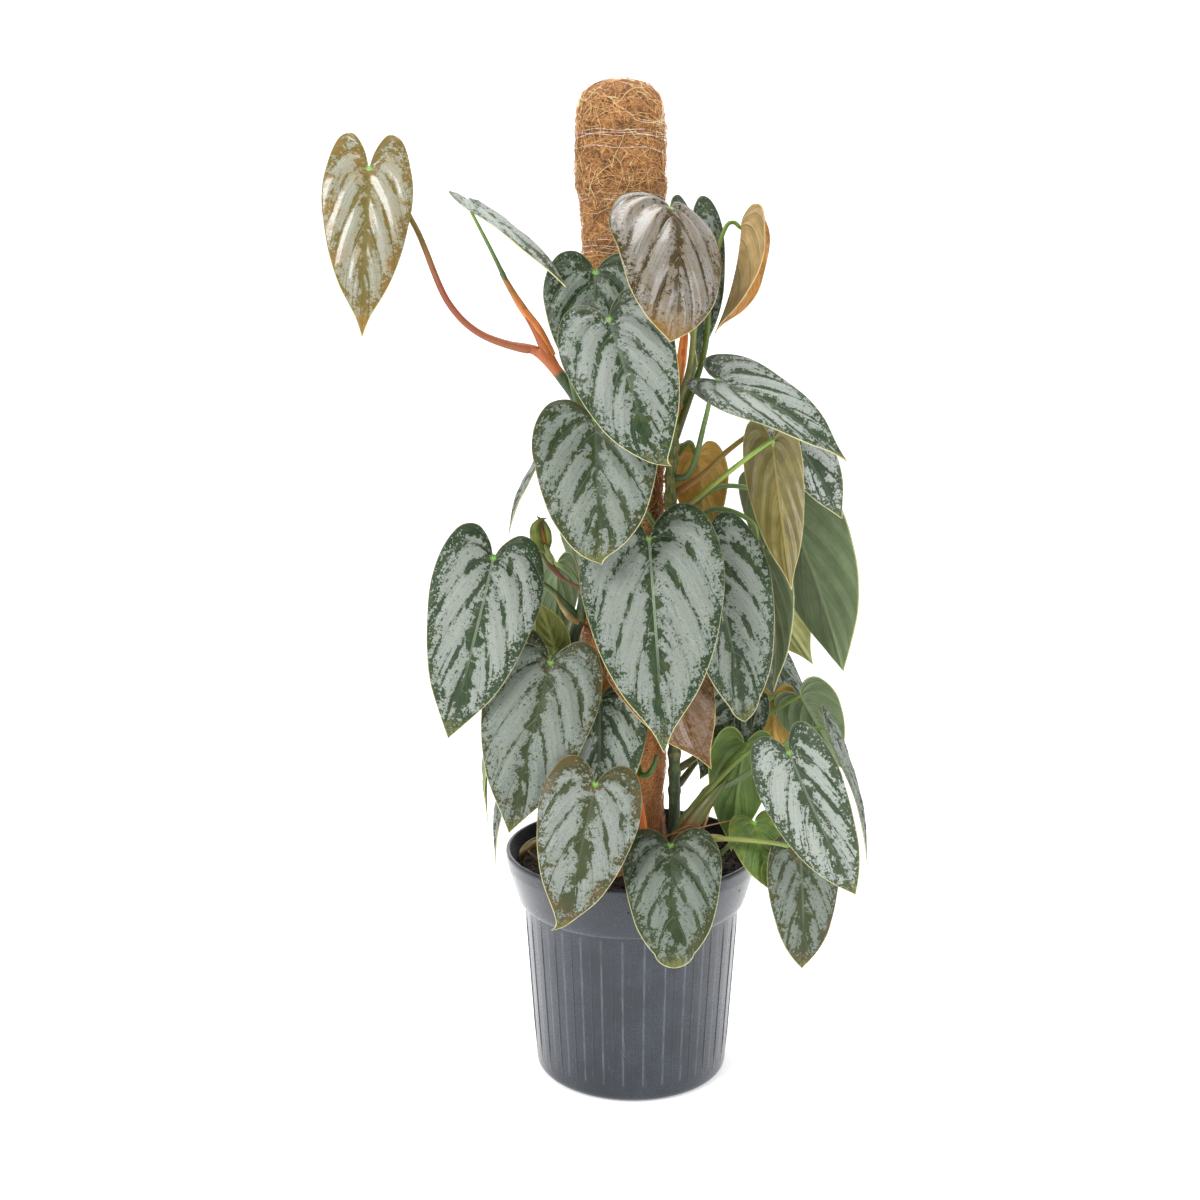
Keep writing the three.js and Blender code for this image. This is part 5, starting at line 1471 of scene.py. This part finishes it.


# Colours of the leaves by tone
# rib is the colour of the painted highlight beside the midrib.
UPPER = {
    "silver": dict(cover=1.04, gloss=0.34, soft=0.25, coat=0.0, tip_from=0.88, silver=(118, 125, 119),
                   silver_light=(148, 154, 149), silver_warm=(134, 138, 128), halo=(86, 100, 80),
                   dark=(22, 42, 20), dark_light=(44, 66, 34), olive=(66, 72, 36), rust=(100, 76, 40),
                   vein=(84, 96, 80), rib=(150, 162, 140), tip=(104, 106, 54), base=(120, 176, 74),
                   edge=(206, 202, 150)),
    "bronze": dict(cover=0.9, gloss=0.2, soft=0.4, coat=0.35, tip_from=0.72, silver=(110, 106, 98),
                   silver_light=(146, 144, 138), silver_warm=(112, 96, 70), halo=(88, 74, 48),
                   dark=(48, 38, 10), dark_light=(68, 52, 18), olive=(66, 48, 10), rust=(104, 60, 18),
                   vein=(116, 98, 66), rib=(176, 166, 124), tip=(132, 98, 40), base=(120, 176, 70),
                   edge=(206, 192, 130)),
    "young": dict(cover=0.8, gloss=0.26, soft=0.8, coat=0.5, tip_from=0.82, silver=(132, 132, 116),
                  silver_light=(160, 161, 148), silver_warm=(148, 132, 102), halo=(112, 108, 64),
                  dark=(78, 74, 30), dark_light=(100, 94, 46), olive=(122, 96, 30), rust=(166, 108, 32),
                  vein=(142, 128, 80), rib=(112, 122, 66), tip=(150, 118, 54), base=(120, 180, 90),
                  edge=(196, 182, 114)),
    "fresh": dict(cover=0.7, gloss=0.32, soft=0.8, coat=0.1, tip_from=0.88, silver=(90, 116, 62),
                  silver_light=(112, 138, 78), silver_warm=(114, 134, 64), halo=(80, 108, 52),
                  dark=(56, 84, 38), dark_light=(76, 106, 50), olive=(124, 134, 40), rust=(196, 152, 40),
                  vein=(126, 156, 74), rib=(140, 170, 80), tip=(170, 150, 50), base=(140, 190, 70),
                  edge=(180, 186, 110)),
    "olive": dict(cover=0.4, gloss=0.25, soft=1.0, coat=0.2, tip_from=0.88, silver=(84, 92, 24),
                  silver_light=(104, 112, 32), silver_warm=(96, 98, 24), halo=(78, 88, 24),
                  dark=(70, 80, 20), dark_light=(84, 94, 28), olive=(96, 92, 20), rust=(120, 100, 30),
                  vein=(96, 106, 32), rib=(110, 120, 40), tip=(120, 110, 40), base=(120, 140, 50),
                  edge=(170, 170, 90)),
    "orange": dict(cover=0.5, gloss=0.2, soft=1.0, coat=0.5, tip_from=0.8, silver=(164, 106, 12),
                   silver_light=(180, 128, 34), silver_warm=(156, 96, 8), halo=(146, 92, 8),
                   dark=(124, 76, 4), dark_light=(140, 88, 8), olive=(148, 100, 10), rust=(158, 92, 10),
                   vein=(178, 136, 50), rib=(186, 156, 66), tip=(150, 100, 20), base=(140, 170, 70),
                   edge=(216, 200, 140)),
    "golden": dict(cover=0.62, gloss=0.22, soft=0.5, coat=0.3, tip_from=0.8, silver=(120, 94, 70),
                   silver_light=(154, 132, 118), silver_warm=(112, 82, 52), halo=(106, 74, 30),
                   dark=(88, 54, 4), dark_light=(108, 70, 10), olive=(112, 74, 10), rust=(120, 72, 10),
                   vein=(168, 138, 88), rib=(150, 140, 60), tip=(104, 66, 8), base=(140, 170, 70),
                   edge=(206, 186, 110)),
}
UNDER = {
    "silver": dict(base=(104, 122, 96), light=(138, 152, 126), shadow=(84, 104, 78), vein=(158, 170, 136),
                   edge=(200, 200, 150)),
    "bronze": dict(base=(120, 90, 22), light=(146, 114, 40), shadow=(90, 64, 14), vein=(184, 164, 106),
                   edge=(206, 190, 130)),
    "young": dict(base=(104, 94, 42), light=(130, 119, 62), shadow=(84, 73, 26), vein=(140, 124, 62),
                  edge=(206, 194, 130)),
    "orange": dict(base=(160, 134, 88), light=(184, 158, 112), shadow=(138, 102, 46), vein=(160, 136, 86),
                   edge=(218, 204, 146)),
    # These golden underside colours are lifted above the leaves' own colour, as painted light for leaves
    # that hang in shade behind others.
    "golden": dict(base=(216, 166, 72), light=(232, 194, 110), shadow=(184, 134, 50), vein=(186, 166, 100),
                   edge=(210, 196, 130)),
    "green": dict(base=(106, 122, 86), light=(120, 136, 98), shadow=(88, 106, 72), vein=(148, 162, 120),
                  edge=(190, 194, 130)),
    "fresh": dict(base=(78, 104, 42), light=(102, 128, 54), shadow=(60, 86, 34), vein=(126, 148, 72),
                  edge=(180, 190, 104)),
    "olive": dict(base=(104, 108, 32), light=(132, 134, 48), shadow=(78, 84, 22), vein=(136, 140, 62),
                  edge=(186, 182, 104)),
    "pale": dict(base=(158, 160, 96), light=(182, 184, 124), shadow=(132, 138, 72), vein=(196, 200, 140),
                 edge=(210, 206, 150)),
}
TONES = {
    "silver": dict(upper="silver", stalk="green", slot="leaf_silver"),
    "bronze": dict(upper="bronze", stalk="olive", slot="leaf_bronze"),
    "young": dict(upper="young", stalk="olive", slot="leaf_young"),
    "green": dict(upper="silver", stalk="green", slot="leaf_underside"),
    "fresh": dict(upper="fresh", stalk="fresh", slot="leaf_fresh"),
    "pale": dict(upper="silver", stalk="fresh", slot="leaf_pale"),
    "golden": dict(upper="golden", stalk="fresh", slot="leaf_young"),
    "orange": dict(upper="orange", stalk="fresh", slot="leaf_young"),
    "olive": dict(upper="olive", stalk="olive", slot="leaf_fresh"),
}
STALKS = {
    "green": ((66, 84, 48), (96, 118, 62), (122, 150, 76)),
    "olive": ((96, 92, 44), (128, 132, 66), (140, 160, 84)),
    "fresh": ((78, 72, 18), (82, 100, 26), (98, 124, 38)),
    "lime": ((150, 104, 46), (134, 144, 56), (136, 168, 74)),
    "red": ((150, 84, 42), (134, 68, 42), (126, 124, 58)),
    "amber": ((140, 92, 44), (146, 116, 50), (130, 134, 58)),
}


# Stem barks: base, light, dark, ring, tip and at times head
BARKS = {
    "stem_bark": ((66, 84, 44), (104, 110, 54), (44, 58, 32), (138, 118, 74), (168, 92, 50)),
    "stem_bark_olive": ((66, 84, 44), (104, 110, 54), (44, 58, 32), (138, 118, 74), (150, 110, 48),
                        (150, 142, 60)),
    "stem_bark_light": ((96, 102, 46), (130, 128, 62), (62, 72, 36), (142, 122, 74), (120, 122, 56)),
}
BARK_OF = {"left": "stem_bark", "right": "stem_bark_olive", "low": "stem_bark_light", "back": "stem_bark"}

# Bracts: slot, base, light, dark, gloss and at times foot
SHEATHS = {
    "orange": ("sheath_orange", (186, 104, 50), (218, 138, 78), (124, 92, 42), 0.3),
    "bright": ("sheath_orange", (216, 108, 30), (236, 150, 66), (176, 78, 22), 0.3),
    "dry": ("sheath_dry", (84, 92, 38), (120, 122, 58), (70, 76, 30), 0.4, (120, 78, 58)),
    "husk": ("sheath_dry", (62, 54, 16), (86, 70, 26), (50, 40, 14), 0.4),
}


def make_plant():
    uppers = {tone: upper_finish(f"leaf_upper_{tone}", look) for tone, look in UPPER.items()}
    unders = {tone: under_finish(f"leaf_under_{tone}", colours, UPPER.get(tone, {}).get("coat", 0.0))
              for tone, colours in UNDER.items()}
    stalks = {name: stalk_finish(f"petiole_{name}", *colours) for name, colours in STALKS.items()}
    for leaf in LEAVES:
        tone = TONES[leaf["tone"]]
        stalk = stalks[leaf.get("stalk", tone["stalk"])]
        make_leaf(leaf, [uppers[tone["upper"]], unders[leaf["tone"]], stalk])
    barks = {name: bark_finish(name, *colours) for name, colours in BARKS.items()}
    for name in STEMS:
        make_stem(name, barks[BARK_OF[name]])
    sheaths = {tone: sheath_finish(f"sheath_{tone}", *look[1:]) for tone, look in SHEATHS.items()}
    for name, bract in BRACTS.items():
        make_bract(name, sheaths[bract["tone"]])
    make_growths()


def make_room():
    """A pale floor that rises into a backdrop, which belong to the room only."""
    paper, r = new_finish("studio_paper")
    surface(r, (250, 250, 250), 0.9, fixed={"Emission Strength": 0.4,
                                                 "Emission Color": (1, 1, 1, 1)})
    turns = np.linspace(0, math.pi / 2, 13)
    profile = [(PAPER_FRONT, PAPER_LEVEL)]
    profile += [(PAPER_BACK + PAPER_BEND * math.sin(turn), PAPER_LEVEL + PAPER_BEND * (1 - math.cos(turn)))
                for turn in turns]
    profile.append((PAPER_BACK + PAPER_BEND, PAPER_TOP))
    points, faces = [], []
    for along, height in profile:
        points += [(-PAPER_HALF_WIDTH, along, height), (PAPER_HALF_WIDTH, along, height)]
    for row in range(len(profile) - 1):
        faces.append((2 * row, 2 * row + 1, 2 * row + 3, 2 * row + 2))
    sheet = place_object("studio_sheet", bare_mesh("studio_sheet", points, faces))
    sheet.data.materials.append(paper)


def make_light(name, place, size, watts):
    lamp = bpy.data.lights.new(name, "AREA")
    lamp.shape, lamp.size, lamp.size_y = "RECTANGLE", *size
    lamp.energy = watts
    holder = bpy.data.objects.new(name, lamp)
    bpy.context.scene.collection.objects.link(holder)
    holder.location = place
    holder.rotation_euler = (Vector(LIGHT_TARGET) - Vector(place)).to_track_quat("-Z", "Y").to_euler()


def make_studio():
    make_room()
    for name, light in LIGHTS.items():
        make_light(name, *light)
    world = bpy.data.worlds.new("studio_air")
    world.use_nodes = True
    air = world.node_tree.nodes["Background"]
    air.inputs["Color"].default_value = (1, 1, 1, 1)
    air.inputs["Strength"].default_value = 0.5
    scene = bpy.context.scene
    scene.world = world
    scene.view_settings.view_transform = "Standard"
    scene.view_settings.look = "None"
    lens = bpy.data.cameras.new("front_camera")
    lens.sensor_fit = "HORIZONTAL"
    lens.sensor_width = SENSOR_WIDTH
    lens.lens = FOCAL_PIXELS / PHOTO_SIDE * SENSOR_WIDTH
    lens.shift_y = (HORIZON_CENTRE_ROW - PHOTO_SIDE / 2) / PHOTO_SIDE
    lens.clip_end = 60
    camera = bpy.data.objects.new("front_camera", lens)
    scene.collection.objects.link(camera)
    camera.location = CAMERA_PLACE
    camera.rotation_euler = (math.pi / 2 - CAMERA_PITCH, 0, 0)
    scene.camera = camera


make_plant()
make_pot(plastic_finish())
make_soil(soil_finish())
make_pole(coir_finish(), fibre_finish(), thread_finish(), wood_finish())
make_studio()
